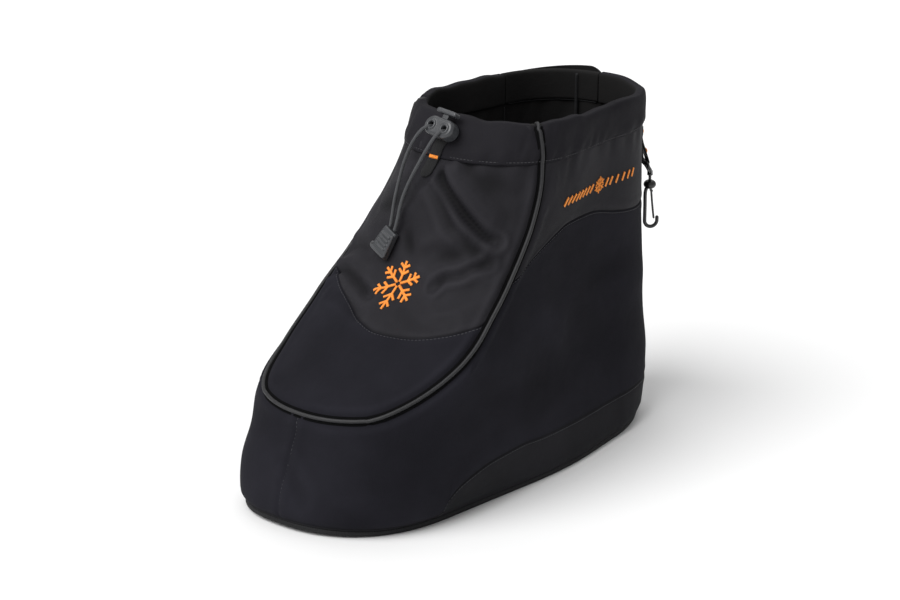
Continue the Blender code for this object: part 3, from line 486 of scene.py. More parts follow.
# %% Faces and pieces
def grid_faces(rows, columns, wrap=False, start=0, loop=False):
    """Quads between rows of points. wrap closes each row, loop joins the last row to the first."""
    faces = []
    for row in range(rows if loop else rows - 1):
        above = (row + 1) % rows
        for column in range(columns if wrap else columns - 1):
            right = (column + 1) % columns
            low, high = start + row * columns, start + above * columns
            faces.append((low + column, low + right, high + right, high + column))
    return faces


def end_faces(rows, columns):
    """The first and the last ring of a swept section, as two faces."""
    last = (rows - 1) * columns
    return [tuple(range(columns))[::-1], tuple(last + index for index in range(columns))]


def side_faces(rows, columns):
    """The first and the last column of a grid whose rows are joined in a loop."""
    first = tuple(row * columns for row in range(rows))
    return [first, tuple(index + columns - 1 for index in first)[::-1]]


def cloth_uv(across, along):
    """UV in metres from one length a column and one a row."""
    pair = np.broadcast_arrays(np.asarray(across)[None, :], np.asarray(along)[:, None])
    return np.stack(pair, axis=-1).reshape(-1, 2)


def linked(name, mesh):
    made = bpy.data.objects.new(name, mesh)
    bpy.context.scene.collection.objects.link(made)
    return made


def face_outwards(mesh):
    work = bmesh.new()
    work.from_mesh(mesh)
    bmesh.ops.recalc_face_normals(work, faces=work.faces)
    work.to_mesh(mesh)
    work.free()


def make_piece(name, points, faces, finishes, uv, kinds=None):
    """A mesh object at the origin. uv is one pair a point, kinds one finish index a face."""
    mesh = bpy.data.meshes.new(name)
    mesh.from_pydata(np.asarray(points, float).reshape(-1, 3).tolist(), [], faces)
    made = linked(name, mesh)
    for finish in finishes if isinstance(finishes, (list, tuple)) else [finishes]:
        mesh.materials.append(finish)
    if kinds is not None:
        mesh.polygons.foreach_set("material_index", np.asarray(kinds, np.int32))
    layer = mesh.uv_layers.new(name="cloth")
    corner = np.zeros(len(mesh.loops), np.int32)
    mesh.loops.foreach_get("vertex_index", corner)
    layer.data.foreach_set("uv", np.asarray(uv, np.float32).reshape(-1, 2)[corner].ravel())
    face_outwards(mesh)
    mesh.shade_smooth()
    return made


def settle(piece, body, *replaced, slot=None):
    """Puts a finished piece on its body, in place of the CAD nodes that it stands for."""
    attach(piece, body)
    if replaced:
        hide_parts(*replaced)
    mesh = piece.data
    mesh.calc_loop_triangles()
    print(piece.name, "triangles:", len(mesh.loop_triangles))


print("faces of a 3 by 4 grid:", len(grid_faces(3, 4)))

# %% [markdown]
# Cords, rods, seams and wires are all one shape: a round section swept along a line. A curve
# object with a bevel would do it too, but it gives no UV in metres and no domed ends. The two
# directions square to the line are carried along it, so that the section never twists.

# %% Rods along a line
DOME_RINGS = 3


def frames_along(line, closed=False):
    """Two directions square to the line at each of its points, with no twist."""
    along = np.gradient(line, axis=0)
    if closed:
        along = np.roll(line, -1, axis=0) - np.roll(line, 1, axis=0)
    along = along / np.linalg.norm(along, axis=1, keepdims=True)
    start = np.array([0.0, 0.0, 1.0]) if abs(along[0][2]) < 0.9 else np.array([1.0, 0.0, 0.0])
    side = np.cross(along[0], start)
    sides = []
    for direction in along:
        side = side - direction * side.dot(direction)
        side = side / np.linalg.norm(side)
        sides.append(side)
    sides = np.array(sides)
    return sides, np.cross(along, sides)


def tube(line, radius, around=12, closed=False, domed=True):
    """A round rod along a line, with domed or flat ends: its points, faces and UV in metres."""
    line = np.asarray(line, float)
    radii = np.broadcast_to(np.asarray(radius, float), (len(line),)).copy()
    if domed and not closed:
        run = walked(line)
        keep = (run > 1.05 * radii[0]) & (run < run[-1] - 1.05 * radii[-1])
        keep[[0, -1]] = True
        line, radii = line[keep], radii[keep]
        lead, tail = line[0] - line[1], line[-1] - line[-2]
        lead, tail = lead / np.linalg.norm(lead), tail / np.linalg.norm(tail)
        angles = np.linspace(0.08, 1.0, DOME_RINGS, endpoint=False) * math.pi / 2
        head = [line[0] + lead * radii[0] * (math.cos(a) - 1.0) for a in angles]
        foot = [line[-1] + tail * radii[-1] * (math.cos(a) - 1.0) for a in angles[::-1]]
        first = [radii[0] * math.sin(a) for a in angles]
        last = [radii[-1] * math.sin(a) for a in angles[::-1]]
        start, end = line[0] - lead * radii[0], line[-1] - tail * radii[-1]
        line = np.vstack([head, start, line[1:-1], end, foot])
        radii = np.concatenate([first, radii, last])
    sides, ups = frames_along(line, closed)
    turns = np.arange(around) * 2.0 * math.pi / around
    cosine, sine = np.cos(turns)[None, :, None], np.sin(turns)[None, :, None]
    ring = cosine * sides[:, None] + sine * ups[:, None]
    points = (line[:, None] + ring * radii[:, None, None]).reshape(-1, 3)
    faces = grid_faces(len(line), around, wrap=True, loop=closed)
    if not closed:
        faces += end_faces(len(line), around)
    girth = 2.0 * math.pi * float(np.max(radii))
    return points, faces, cloth_uv(turns / (2 * math.pi) * girth, walked(line))


print("points of a short rod:", len(tube([(0, 0, 0), (0, 0, 0.01), (0, 0, 0.02)], 0.001)[0]))

# %% [markdown]
# The drawcord comes before the cloth, because a cord has a real length. These are the places that
# it needs: the cord lock, tilted against the collar, and the cord end, which lies on the vamp a
# little turned. They repeat the CAD part's own sizes.

# %% Where the lock and the cord end sit
CORD = 0.0024
LOCK_MIDDLE = Vector((0.0075, -0.0263, 0.24585))
LOCK_SIDE_AXIS = Vector((0.9961, -0.0493, -0.0735)).normalized()
LOCK_OUT_AXIS = Vector((0.0, -0.8306, 0.5568)).normalized()
LOCK_UP_AXIS = Vector((0.0885, 0.5546, 0.8274)).normalized()
LOCK_LENGTH = 0.025
LOCK_HEIGHT = 0.014
LOCK_DEPTH = 0.011
LOCK_HOLE = 0.004
LOCK_HOLE_SPACING = 0.0118
TAB_CLOTH = 0.0012
END_LEVEL = 1.505
END_TURN = 1.93
END_SPIN = math.radians(-18)
END_TOP_WIDTH = 0.013
END_FOOT_WIDTH = 0.017
END_LENGTH = 0.019
END_THICKNESS = 0.0052
END_SEAT = 0.0009
END_HOLE_SPACING = 0.0055

end_seat = Vector(form(END_LEVEL, END_TURN))
end_out = Vector(outward(END_LEVEL, END_TURN))
end_up = Vector((0.0, 0.0, 1.0))
end_up = (end_up - end_out * end_up.dot(end_out)).normalized()
end_up = Matrix.Rotation(END_SPIN, 3, end_out) @ end_up
end_side = end_up.cross(end_out).normalized()
end_middle = end_seat + end_out * (END_THICKNESS / 2 + END_SEAT)
print("cord end's middle", [round(value, 4) for value in end_middle])

# %% [markdown]
# Both strands leave the casing behind the cord lock, pass through its two holes, lie down over the
# vamp and end in one moulded cord end. Each is a braided elastic cord of 2.4 mm. A rope simulation
# would hang it too, but the photo shows where it lies, so a few places and a smooth line are
# enough. Averaging the line takes out any bend tighter than such a cord can make.

# %% The drawcord's two strands
CORD_POINTS = 90
SMOOTHING_PASSES = 90
CORD_LEFT = (
    (-0.0058, -0.033, 0.2465), (-0.0105, -0.0335, 0.24), (-0.0155, -0.035, 0.231),
    (-0.0185, -0.0375, 0.22), (-0.0208, -0.0405, 0.205), (-0.0226, -0.0437, 0.191),
)
CORD_RIGHT = (
    (0.0066, -0.0335, 0.244), (0.0005, -0.035, 0.2335), (-0.0048, -0.0385, 0.2215),
    (-0.0112, -0.0415, 0.2075), (-0.0158, -0.044, 0.1935),
)


def strand(name, side, route):
    """One strand as a tube, with the line that it follows."""
    hole = LOCK_MIDDLE + LOCK_SIDE_AXIS * (side * LOCK_HOLE_SPACING / 2)
    behind = hole - LOCK_OUT_AXIS * (LOCK_DEPTH / 2 + TAB_CLOTH)
    face = hole + LOCK_OUT_AXIS * (LOCK_DEPTH / 2)
    tip = end_middle + end_up * (END_LENGTH / 2 + 2 * GAP)
    tip = tip + end_side * (side * END_HOLE_SPACING / 2)
    points = [behind, face, face + LOCK_OUT_AXIS * CORD]
    points += [Vector(np.array(point) + FORM_SHIFT) for point in route]
    points += [tip + end_up * CORD * 1.5, tip + end_up * CORD * 0.5, tip]
    line = through(points, CORD_POINTS)
    for _ in range(SMOOTHING_PASSES):
        line[5:-1] = 0.25 * line[4:-2] + 0.5 * line[5:-1] + 0.25 * line[6:]
    points, faces, uv = tube(line, CORD / 2, around=14)
    return make_piece(name, points, faces, BRAID, uv), line


cord_left, left_line = strand("cord_strand_left", -1, CORD_LEFT)
cord_right, right_line = strand("cord_strand_right", 1, CORD_RIGHT)
settle(cord_left, "shoe", "drawcord_left", slot="cord")
settle(cord_right, "shoe", "drawcord_right", slot="cord")
print("strands:", round(walked(left_line)[-1], 4), round(walked(right_line)[-1], 4), "m")

# %% [markdown]
# Two seams divide the padded shell. The upper one crosses the vamp inside the piping, runs hidden
# under the piping and comes out of it as the quarter seam that goes round to the back. The lower
# one bounds the rand, the tougher strip along the foot. Both are given as a level for each turn,
# so the mesh can have a row of points exactly on each seam, and the cloth changes at a clean line.

# %% The seams of the shell
MAIN_SEAM = (
    (-1.0, 1.49), (-0.77, 1.5), (-0.72, 1.51), (-0.594, 1.567), (-0.502, 1.571), (-0.454, 1.544),
    (-0.409, 1.484), (-0.389, 1.435), (-0.352, 1.4), (-0.338, 1.385), (-0.3, 1.357),
    (-0.227, 1.341),
    (-0.17, 1.32), (-0.096, 1.29), (-0.021, 1.25), (0.03, 1.236), (0.107, 1.24), (0.146, 1.246),
    (0.209, 1.262), (0.283, 1.283), (0.33, 1.296), (0.352, 1.312), (0.362, 1.365),
    (0.372, 1.41), (0.389, 1.435), (0.409, 1.484), (0.454, 1.544), (0.502, 1.571), (0.594, 1.567),
    (0.722, 1.512), (0.772, 1.5),
    (1.0, 1.49),
)
RAND_SEAM = (
    (0.0, 0.072), (0.335, 0.074), (0.354, 0.107), (0.36, 0.238), (0.391, 0.377), (0.429, 0.437),
    (0.474, 0.449), (0.522, 0.42), (0.633, 0.396), (0.752, 0.395), (1.0, 0.38),
)


def signed(turn):
    """The turn from -1 to 1, negative on the inner side."""
    return np.mod(np.asarray(turn, float) + 1.0, 2.0) - 1.0


def main_seam(turn):
    return smooth_curve(*zip(*MAIN_SEAM), signed(turn))


def rand_seam(turn):
    return smooth_curve(*zip(*RAND_SEAM), np.abs(signed(turn)))


print("vamp seam at the middle:", round(float(height_of(main_seam(0.0))), 4), "m up")

# %% [markdown]
# The piping runs in a U from the rim, down beside the vamp, round the toe and up again. Its path is
# needed early, because cloth is pulled flat beside it. It is a table of levels and turns.

# %% The piping's path
PIPING_PATH = (
    (1.995, 0.264), (1.895, 0.292), (1.78, 0.313), (1.63, 0.33), (1.53, 0.342), (1.427, 0.359),
    (1.347, 0.367), (1.26, 0.358), (1.185, 0.324), (1.127, 0.286), (1.075, 0.248), (1.04, 0.215),
    (1.012, 0.178), (0.99, 0.128), (0.975, 0.07), (0.97, 0.009), (0.98, -0.06), (1.01, -0.13),
    (1.07, -0.196), (1.16, -0.258), (1.27, -0.306), (1.38, -0.338), (1.5, -0.334),
    (1.62, -0.323), (1.76, -0.303), (1.88, -0.282), (1.995, -0.238),
)
piping_route = through(PIPING_PATH, 400)
piping_line = form(piping_route[:, 0], piping_route[:, 1])
print("piping:", round(walked(piping_line)[-1], 3), "m")

# %% [markdown]
# Cloth is never smooth: the drawcord pulls folds down from the tab, the vamp buckles where the
# foot bends, and the hem puckers. A cloth simulation would crease it too, but not where the real
# shoe does. So each crease is given as a line on the form, with a depth and a width in
# millimetres. A negative depth is a ridge.

# %% The creases
MILLIMETRE = 0.001
CREASES = (
    (((1.83, 0.01), (1.782, 0.039), (1.742, 0.066), (1.679, 0.112), (1.631, 0.154), (1.59, 0.2),
        (1.575, 0.235)), 4.6, 3.2),
    (((1.82, 0.06), (1.77, 0.09), (1.71, 0.14), (1.66, 0.19)), -2.2, 5.5),
    (((1.746, 0.024), (1.671, 0.066), (1.605, 0.105), (1.56, 0.175)), 2.4, 4.0),
    (((1.5, 0.07), (1.52, 0.12), (1.535, 0.166), (1.5, 0.26)), 2.6, 6.0),
    (((1.5, 0.235), (1.476, 0.189), (1.452, 0.16), (1.433, 0.118), (1.393, 0.096)), 2.8, 3.0),
    (((1.433, 0.25), (1.389, 0.183), (1.361, 0.149)), 1.2, 5.0),
    (((1.333, -0.27), (1.361, -0.198), (1.345, -0.112), (1.321, -0.05)), 2.8, 3.4),
    (((1.282, -0.179), (1.286, -0.117), (1.262, -0.037)), 1.2, 3.5),
    (((1.397, -0.3), (1.452, -0.192), (1.448, -0.116)), 2.0, 5.0),
    (((1.59, -0.025), (1.52, -0.007), (1.492, 0.023)), 1.5, 5.0),
    (((1.829, -0.19), (1.837, -0.077), (1.837, -0.035)), 1.8, 5.0),
    (((1.7, -0.06), (1.64, -0.12), (1.6, -0.2)), 1.6, 6.0),
    (((1.83, 0.11), (1.79, 0.17), (1.77, 0.24)), 1.0, 6.0),
    (((1.31, 0.06), (1.28, 0.13), (1.3, 0.2)), 0.9, 4.0),
    (((1.865, 0.34), (1.81, 0.332), (1.722, 0.33)), 1.0, 4.0),
    (((1.86, 0.4), (1.8, 0.43), (1.72, 0.44)), 1.0, 8.0),
    (((1.008, 0.8), (1.024, 0.693), (1.06, 0.6)), 2.0, 14.0),
    (((0.913, 0.4), (0.885, 0.539), (0.849, 0.649)), 1.2, 15.0),
    (((1.3, 0.56), (1.22, 0.72), (1.2, 0.9)), 1.2, 16.0),
    (((0.552, 0.001), (0.413, 0.021), (0.306, 0.042)), 1.0, 5.0),
    (((0.62, 0.1), (0.5, 0.18), (0.42, 0.26)), 0.8, 9.0),
    (((0.8, -0.12), (0.62, -0.2), (0.5, -0.28)), 0.8, 10.0),
    (((0.913, -0.4), (0.885, -0.539), (0.849, -0.649)), 1.4, 15.0),
    (((1.008, -0.82), (1.06, -0.7), (1.12, -0.58)), 1.8, 13.0),
    (((1.8, -0.4), (1.68, -0.43), (1.6, -0.48)), 1.4, 8.0),
    (((1.4, -0.5), (1.3, -0.62), (1.25, -0.76)), 1.2, 15.0),
    (((1.45, 0.95), (1.2, 0.97), (0.95, 0.96)), 1.2, 16.0),
)


def on_form(places, count):
    fine = through(places, count)
    return form(fine[:, 0], fine[:, 1])


crease_lines = [(on_form(places, 26), depth, width) for places, depth, width in CREASES]
print("creases:", len(crease_lines), "deepest", max(depth for _, depth, _ in CREASES), "mm")

# %% [markdown]
# The relief is how far the cloth stands off the form at each point. A crease is a soft trough with
# a low ridge on both sides, and it fades at its ends. Three slow waves keep the rest from being
# flat, and small puckers hang below the hem. The cloth is quiet under the tab, the cord end and
# beside the piping, and no trough is deeper than the padding.

# %% The relief
DEEPEST = 0.0034
SLOW_WAVE = 0.00032
PUCKER = 0.0005
FREE_RISE = 0.0002


def distance_to(points, line):
    """How far each point is from a line of points."""
    best = np.full(len(points), np.inf)
    for start, end in zip(line[:-1], line[1:]):
        run = end - start
        share = np.clip(((points - start) @ run) / max(float(run @ run), 1e-12), 0.0, 1.0)
        away = points - start - share[:, None] * run
        best = np.minimum(best, np.einsum("ij,ij->i", away, away))
    return np.sqrt(best)


def creased(points):
    lift = np.zeros(len(points))
    for line, depth, width in crease_lines:
        low, high = line.min(axis=0), line.max(axis=0)
        reach = 5.0 * width * MILLIMETRE
        near = np.all((points > low - reach) & (points < high + reach), axis=1)
        away = distance_to(points[near], line) / (width * MILLIMETRE)
        ends = np.minimum(
            np.linalg.norm(points[near] - line[0], axis=1),
            np.linalg.norm(points[near] - line[-1], axis=1),
        )
        fade = smoothstep(0.35 + ends / (4.0 * width * MILLIMETRE))
        trough = np.exp(-away ** 2) - 0.45 * np.exp(-((away - 2.0) / 0.9) ** 2)
        lift[near] -= depth * MILLIMETRE * trough * fade
    return lift


cord_end_place = np.array(end_seat)
tab_place = form(np.array([1.9, 1.84, 1.776]), np.array([0.028, 0.006, -0.016]))


def relief(level, turn, base):
    """How far the cloth stands off the form, from its creases, piping and slow unevenness."""
    shape = base.shape[:-1]
    points = base.reshape(-1, 3)
    lift = creased(points)
    x, y, z = points.T
    slow = np.sin(x * 61 + y * 23 + z * 37 + 0.4) + np.sin(y * 57 - z * 71 + 1.9)
    slow = slow + np.sin(z * 93 + x * 40 - y * 31)
    lift += SLOW_WAVE * slow
    level_flat = np.broadcast_to(level, shape).ravel()
    turn_flat = np.broadcast_to(turn, shape).ravel()
    under_hem = np.exp(-((1.85 - level_flat) / 0.07) ** 2) * (level_flat < 1.86)
    lift += PUCKER * under_hem * np.sin(turn_flat * 96.0 + 2.0 * np.sin(turn_flat * 17.0))
    lift = lift * smoothstep((distance_to(points, tab_place) - 0.0048) / 0.005)
    quiet = smoothstep((np.linalg.norm(points - cord_end_place, axis=1) - 0.013) / 0.01)
    lift = np.where(lift > FREE_RISE, FREE_RISE + (lift - FREE_RISE) * quiet, lift)
    lift = np.where(lift < 0.0, -DEEPEST * np.tanh(-lift / DEEPEST), lift)
    beside = distance_to(points, piping_line[::5])
    lift = lift * smoothstep((beside - 0.0028) / 0.0042)
    lift = lift + 0.001 * np.exp(-((beside - 0.0066) / 0.0027) ** 2)
    return lift.reshape(shape)


vamp_probe = (np.full(50, 1.6), np.linspace(-0.2, 0.2, 50))
print("vamp relief, mm:", np.round(np.ptp(relief(*vamp_probe, form(*vamp_probe))) * 1000, 2))

# %% [markdown]
# The padded shell is one closed mesh: an outer face in three cloths, and the lining inside. A
# sculpted mesh would look as soft, but a grid keeps its rows along the seams. The rows are spaced
# by real distance, with extra rows beside the seams, where the cloth dips into the seam and puffs
# up next to it. The columns are spaced evenly along the foot, and closer over the vamp.

# %% The shell's grid
COLUMNS = 470
RAND_ROWS = 14
BODY_ROWS = 62
SHAFT_ROWS = 72
LINING_ROWS = 30
FOOT_LEVEL = level_of(SOLE + GAP)
BESIDE_SEAM = (0.0, 0.0005, 0.0012, 0.0024, 0.0042)


def even_turns(count, front=1.0):
    """Turns evenly spaced along the foot and the shaft, or closer over the vamp."""
    fine = np.linspace(-1.0, 1.0, 4001)
    run = sum(walked(form(level, fine)) for level in (0.3, 1.1, 1.8))
    weight = 1.0 + (front - 1.0) * smoothstep((0.42 - np.abs(fine[1:])) / 0.08)
    run = np.concatenate([[0.0], np.cumsum(np.diff(run) * weight)])
    return np.interp(np.arange(count) / count * run[-1], run, fine)


def run_up(grid):
    """The distance up each column of a grid of points, from its first row."""
    steps = np.linalg.norm(np.diff(grid, axis=0), axis=2)
    return np.concatenate([np.zeros((1, grid.shape[1])), np.cumsum(steps, axis=0)])


def rows_between(low, high, count, turns):
    """Levels between two seams, spaced by distance, and each row's distance to both seams."""
    fine = low[None, :] + (high - low)[None, :] * np.linspace(0.0, 1.0, 161)[:, None]
    line = form(fine, turns[None, :])
    run = run_up(line)
    total = run[-1]
    near = np.array(BESIDE_SEAM)[:, None] * np.minimum(1.0, total / 0.03)[None, :]
    inner = near[-1] + (total - 2.0 * near[-1]) * np.linspace(0.0, 1.0, count - 8)[1:-1, None]
    wanted = np.concatenate([near, inner, (total - near)[::-1]])
    levels = np.empty_like(wanted)
    for column in range(len(turns)):
        levels[:, column] = np.interp(wanted[:, column], run[:, column], fine[:, column])
    return levels, wanted, total - wanted


turns = even_turns(COLUMNS, front=2.0)
foot = np.full(COLUMNS, FOOT_LEVEL)
rim = np.full(COLUMNS, 2.0)
rand_top, body_top = rand_seam(turns), main_seam(turns)
rand_levels, _, rand_above = rows_between(foot, rand_top, RAND_ROWS, turns)
body_levels, body_below, body_above = rows_between(rand_top, body_top, BODY_ROWS, turns)
shaft_levels, shaft_below, _ = rows_between(body_top, rim, SHAFT_ROWS, turns)
outer_levels = np.concatenate([rand_levels, body_levels[1:], shaft_levels[1:]])
seam_distance = np.concatenate([
    rand_above,
    np.minimum(body_below, body_above)[1:],
    shaft_below[1:],
])
outer_rows = len(outer_levels)
print("shell rows:", outer_rows, "columns:", COLUMNS)

# %% [markdown]
# Each point of the grid is lifted off the form by the relief, dips at the seams, and has one more
# seam down the toe. The foot's lower edge stands out a little at two places, as a boot's sole
# presses there. A displacement modifier would do the same, but only from one texture, and here the
# seams and folds are known as distances.

# %% The shell's lift
TOE_SEAM_TURN = 0.003
HEEL_BULGE = (0.009, 0.6, 0.11)
TOE_BULGE = (0.0038, -0.11, 0.15)


def bell(value, width):
    return np.exp(-(value / width) ** 2)


def foot_bulge(level, turn):
    """The foot's lower edge stands out a little at the outer heel and the inner toe."""
    at = signed(turn)
    low = smoothstep(1.0 - np.asarray(level, float) / 0.75)
    rows = (HEEL_BULGE, TOE_BULGE)
    return low * sum(depth * bell(at - place, width) for depth, place, width in rows)


def shell_lift(levels, column_turns, seams=None):
    """The whole offset of the shell's outer face, seams included."""
    base = form(levels, column_turns)
    lift = relief(levels, column_turns, base)
    if seams is not None:
        lift = lift - 0.0007 * bell(seams, 0.0008) + 0.0004 * bell(seams - 0.004, 0.003)
    seam_x = form(levels, np.full_like(levels, TOE_SEAM_TURN))[..., 0]
    front = (levels < 0.985) & (np.abs(signed(column_turns)) < 0.2)
    beside = np.abs(base[..., 0] - seam_x)
    groove = -0.0008 * bell(beside, 0.0009) + 0.0005 * bell(beside - 0.0045, 0.003)
    lift = lift + np.where(front, groove, 0.0)
    tuck = smoothstep((levels - FOOT_LEVEL) / 0.06)
    return lift * tuck + foot_bulge(levels, column_turns)


grid_turns = np.broadcast_to(turns[None, :], outer_levels.shape)
outer_lift = shell_lift(outer_levels, grid_turns, seam_distance)
print("lift, mm:", np.round([outer_lift.min() * 1000, outer_lift.max() * 1000], 2))

# %% [markdown]
# The lining is the same grid set inwards by the wall, with fewer rows and only a trace of the
# folds, because padding hides them. Outer and inner rows together make one loop, so the mesh is
# closed without a seam. Each row of faces takes its own cloth, and the UV map is the cloth laid
# out flat in metres.

# %% The padded shell
LINING_LIFT = 0.0012
FACE_KIND, BRUSHED_KIND, RAND_KIND, LINING_KIND = range(4)


def unrolled(points):
    """UV in metres: round the shell, and up along each column."""
    around = np.linalg.norm(np.roll(points, -1, axis=1) - points, axis=2)
    across = np.cumsum(around, axis=1) - around
    up = run_up(points)
    middle = across[len(across) // 2]
    return np.stack([np.broadcast_to(middle[None, :], up.shape), up], axis=-1)


outer_face = skin(outer_levels, grid_turns, outer_lift)
lining_rows = np.linspace(0.0, outer_rows - 1, LINING_ROWS).round().astype(int)
inner_levels = outer_levels[lining_rows]
inner_lift = np.clip(outer_lift[lining_rows], -LINING_LIFT, LINING_LIFT)
inner_face = skin(inner_levels, grid_turns[lining_rows], inner_lift - WALL)
rings = np.concatenate([outer_face, inner_face[::-1]])
faces = grid_faces(len(rings), COLUMNS, wrap=True, loop=True)
rand_end = len(rand_levels) - 1
body_end = rand_end + len(body_levels) - 1
row_kind = np.full(len(rings), LINING_KIND)
row_kind[:rand_end] = RAND_KIND
row_kind[rand_end:body_end] = BRUSHED_KIND
row_kind[body_end:outer_rows - 1] = FACE_KIND
uv = np.concatenate([unrolled(outer_face), unrolled(inner_face)[::-1]])
kinds = np.repeat(row_kind, COLUMNS)
shell = make_piece("padded_shell", rings, faces, [SMOOTH, BRUSHED, RAND, LINING], uv, kinds)
print("faces of each cloth:", np.bincount(kinds))

# %% [markdown]
# Creases and seams are darkened with painted shade, and the ridges lightened with a painted
# highlight, so that the folds read more strongly than their depth alone gives. A value at each
# point holds this, and the cloths' colours are multiplied by it.

# %% Painted shade and highlight in the creases
TROUGH_PAINTED_SHADE, RIDGE_PAINTED_HIGHLIGHT, SEAM_PAINTED_SHADE = 0.66, 0.22, 0.35


def add_painted_light(piece, values):
    layer = piece.data.attributes.new("shade", "FLOAT", "POINT")
    layer.data.foreach_set("value", np.asarray(values, np.float32).ravel())


# painted shade in the crease troughs and seam grooves, painted highlight on the ridges
troughs = smoothstep((-outer_lift - 0.0003) / 0.0024)
ridges = smoothstep((outer_lift - 0.0002) / 0.0014)
outer_painted_light = 1.0 - TROUGH_PAINTED_SHADE * troughs + RIDGE_PAINTED_HIGHLIGHT * ridges
outer_painted_light = outer_painted_light - SEAM_PAINTED_SHADE * bell(seam_distance, 0.001)
add_painted_light(shell, np.concatenate([outer_painted_light, np.ones_like(inner_levels)]))
settle(shell, "shoe", "upper", slot="shell_fabric")

# %% [markdown]
# The hem at the top is folded over and sewn down as a casing for the drawcord. Its section is a
# soft roll that stands a little proud of the shaft, goes over the rim and ends inside. A solidify
# modifier on a strip would give a square edge, so the section is drawn, as places down from the rim
# and out from the form.

# %% The casing's section
CASING = 0.025
CASING_CLOTH = 0.001
CASING_PUFF = 0.0009
LOCK_SEAT_PUFF = 0.0008
FLAP_FREE_TURN = 1.022
BOUND_EDGE_TURN = 1.088
FLAP_ROOT_TURN = 39 / 30
OUTER_POINTS = 44


def casing_face(drop, turn=0.3):
    """How far the hem's outer face stands off the form. It is fuller behind the cord lock."""
    puff = CASING_CLOTH + CASING_PUFF
    drops = (0.12 * CASING, 0.45 * CASING, 0.78 * CASING, 0.94 * CASING, CASING)
    faces = (puff, puff + 0.2 * CASING_PUFF, puff, 0.9 * CASING_CLOTH, 0.5 * CASING_CLOTH)
    behind_lock = LOCK_SEAT_PUFF * np.exp(-((signed(turn) - 0.03) / 0.09) ** 4)
    return GAP + np.interp(drop, drops, faces) + behind_lock * smoothstep((CASING - drop) / 0.008)


def overlay_seat(drop, turn=0.3):
    """The seat of a piece that runs down over the casing's edge on to the shaft."""
    ramp = smoothstep((drop - CASING) / (0.16 * CASING))
    return casing_face(np.minimum(drop, CASING), turn) * (1.0 - ramp) + GAP


def casing_section():
    """The hem's section, rounded: drop and offset, up the outside, over the rim and down inside."""
    thick, puff = CASING_CLOTH, CASING_CLOTH + CASING_PUFF
    inside = -WALL - GAP
    corners = (
        (1.005 * CASING, GAP + 0.1 * thick), (0.99 * CASING, GAP + 0.5 * thick),
        (0.93 * CASING, GAP + 0.8 * thick), (0.78 * CASING, GAP + puff),
        (0.45 * CASING, GAP + puff + 0.2 * CASING_PUFF), (0.12 * CASING, GAP + puff),
        (-GAP - 0.7 * thick, 0.6 * thick), (-GAP - thick, -0.5 * WALL),
        (-GAP - 0.7 * thick, inside - 0.5 * thick), (0.15 * CASING, inside - 1.3 * thick),
        (0.7 * CASING, inside - 1.2 * thick), (0.86 * CASING, inside - thick),
        (0.885 * CASING, inside - 0.5 * thick),
    )
    hidden = (
        (0.88 * CASING, inside), (0.4 * CASING, inside), (-GAP, inside),
        (-GAP, GAP), (0.4 * CASING, GAP), (0.99 * CASING, GAP),
    )
    return np.vstack([through(corners, OUTER_POINTS), hidden])


section = casing_section()
print("points in the casing's section:", len(section))

# %% [markdown]
# The drawcord gathers the hem, and the piping runs up through it. So the casing is pinched at
# placed turns, puckers along its stitched edge, dips a little where the piping is, and the rim
# itself waves. Behind the cord lock it is pressed smooth and a little fuller.

# %% The gathers
# turn, depth in millimetres, width in turn
PINCHES = (
    (0.232, 0.8, 0.01), (0.312, 1.2, 0.012), (0.085, 0.9, 0.012), (-0.06, 1.0, 0.012),
    (0.15, 0.5, 0.02), (-0.15, 0.8, 0.016), (-0.262, 1.2, 0.012), (-0.3, 1.0, 0.012),
    (0.345, 0.8, 0.014), (0.42, 0.6, 0.02), (0.52, 0.4, 0.02), (0.64, 0.6, 0.02),
    (0.74, 0.4, 0.02), (0.83, 0.6, 0.016), (0.93, 0.5, 0.02), (-0.4, 0.7, 0.02),
    (-0.5, 0.5, 0.02), (-0.6, 0.6, 0.02),
)
RIM_DIPS = (
    (0.264, 2.4, 0.018), (-0.238, 2.2, 0.018), (0.3, 0.8, 0.02), (0.1, 1.0, 0.03),
    (0.47, 0.8, 0.03),
)


def dips_at(turn, rows):
    at = signed(turn)
    return sum(depth * MILLIMETRE * bell(at - place, width) for place, depth, width in rows)


casing_turns = np.linspace(FLAP_ROOT_TURN - 2.0 + 0.0015, FLAP_FREE_TURN - 0.0015, 380)
drops = section[:, 0][:, None]
offsets = np.broadcast_to(section[:, 1][:, None], (len(section), len(casing_turns))).copy()
body = np.clip(drops / CASING, 0.0, 1.0)
outer_side = (np.arange(len(section)) < 26)[:, None] & (section[:, 1] > GAP * 1.5)[:, None]
hem_points = collar_point(casing_turns[None, :], drops, np.zeros_like(offsets))
to_piping = distance_to(hem_points.reshape(-1, 3), piping_line[::4]).reshape(offsets.shape)
lock_quiet = smoothstep((np.abs(casing_turns - 0.03) - 0.05) / 0.04)[None, :]
pinched = dips_at(casing_turns, PINCHES)[None, :] * (0.35 + 0.65 * body) * lock_quiet
pucker = 0.0004 * np.sin(casing_turns * 118.0 + 1.5 * np.sin(casing_turns * 23.0))[None, :]
pucker = pucker * smoothstep((body - 0.5) / 0.3) * smoothstep((1.0 - body) / 0.06) * lock_quiet
slow_puff = 0.0005 * np.sin(casing_turns * 41.0 + 1.0)[None, :]
slow_puff = slow_puff * np.sin(body * math.pi) * lock_quiet
behind_lock = LOCK_SEAT_PUFF * np.exp(-((casing_turns - 0.03) / 0.09) ** 4)[None, :]
behind_lock = behind_lock * smoothstep((1.0 - body) / 0.32)
room = (offsets - GAP - 0.0004).clip(0.0)
dips = np.minimum(pinched + 0.0007 * bell(to_piping, 0.0042), room)
offsets = offsets + outer_side * (pucker + slow_puff + behind_lock - dips)
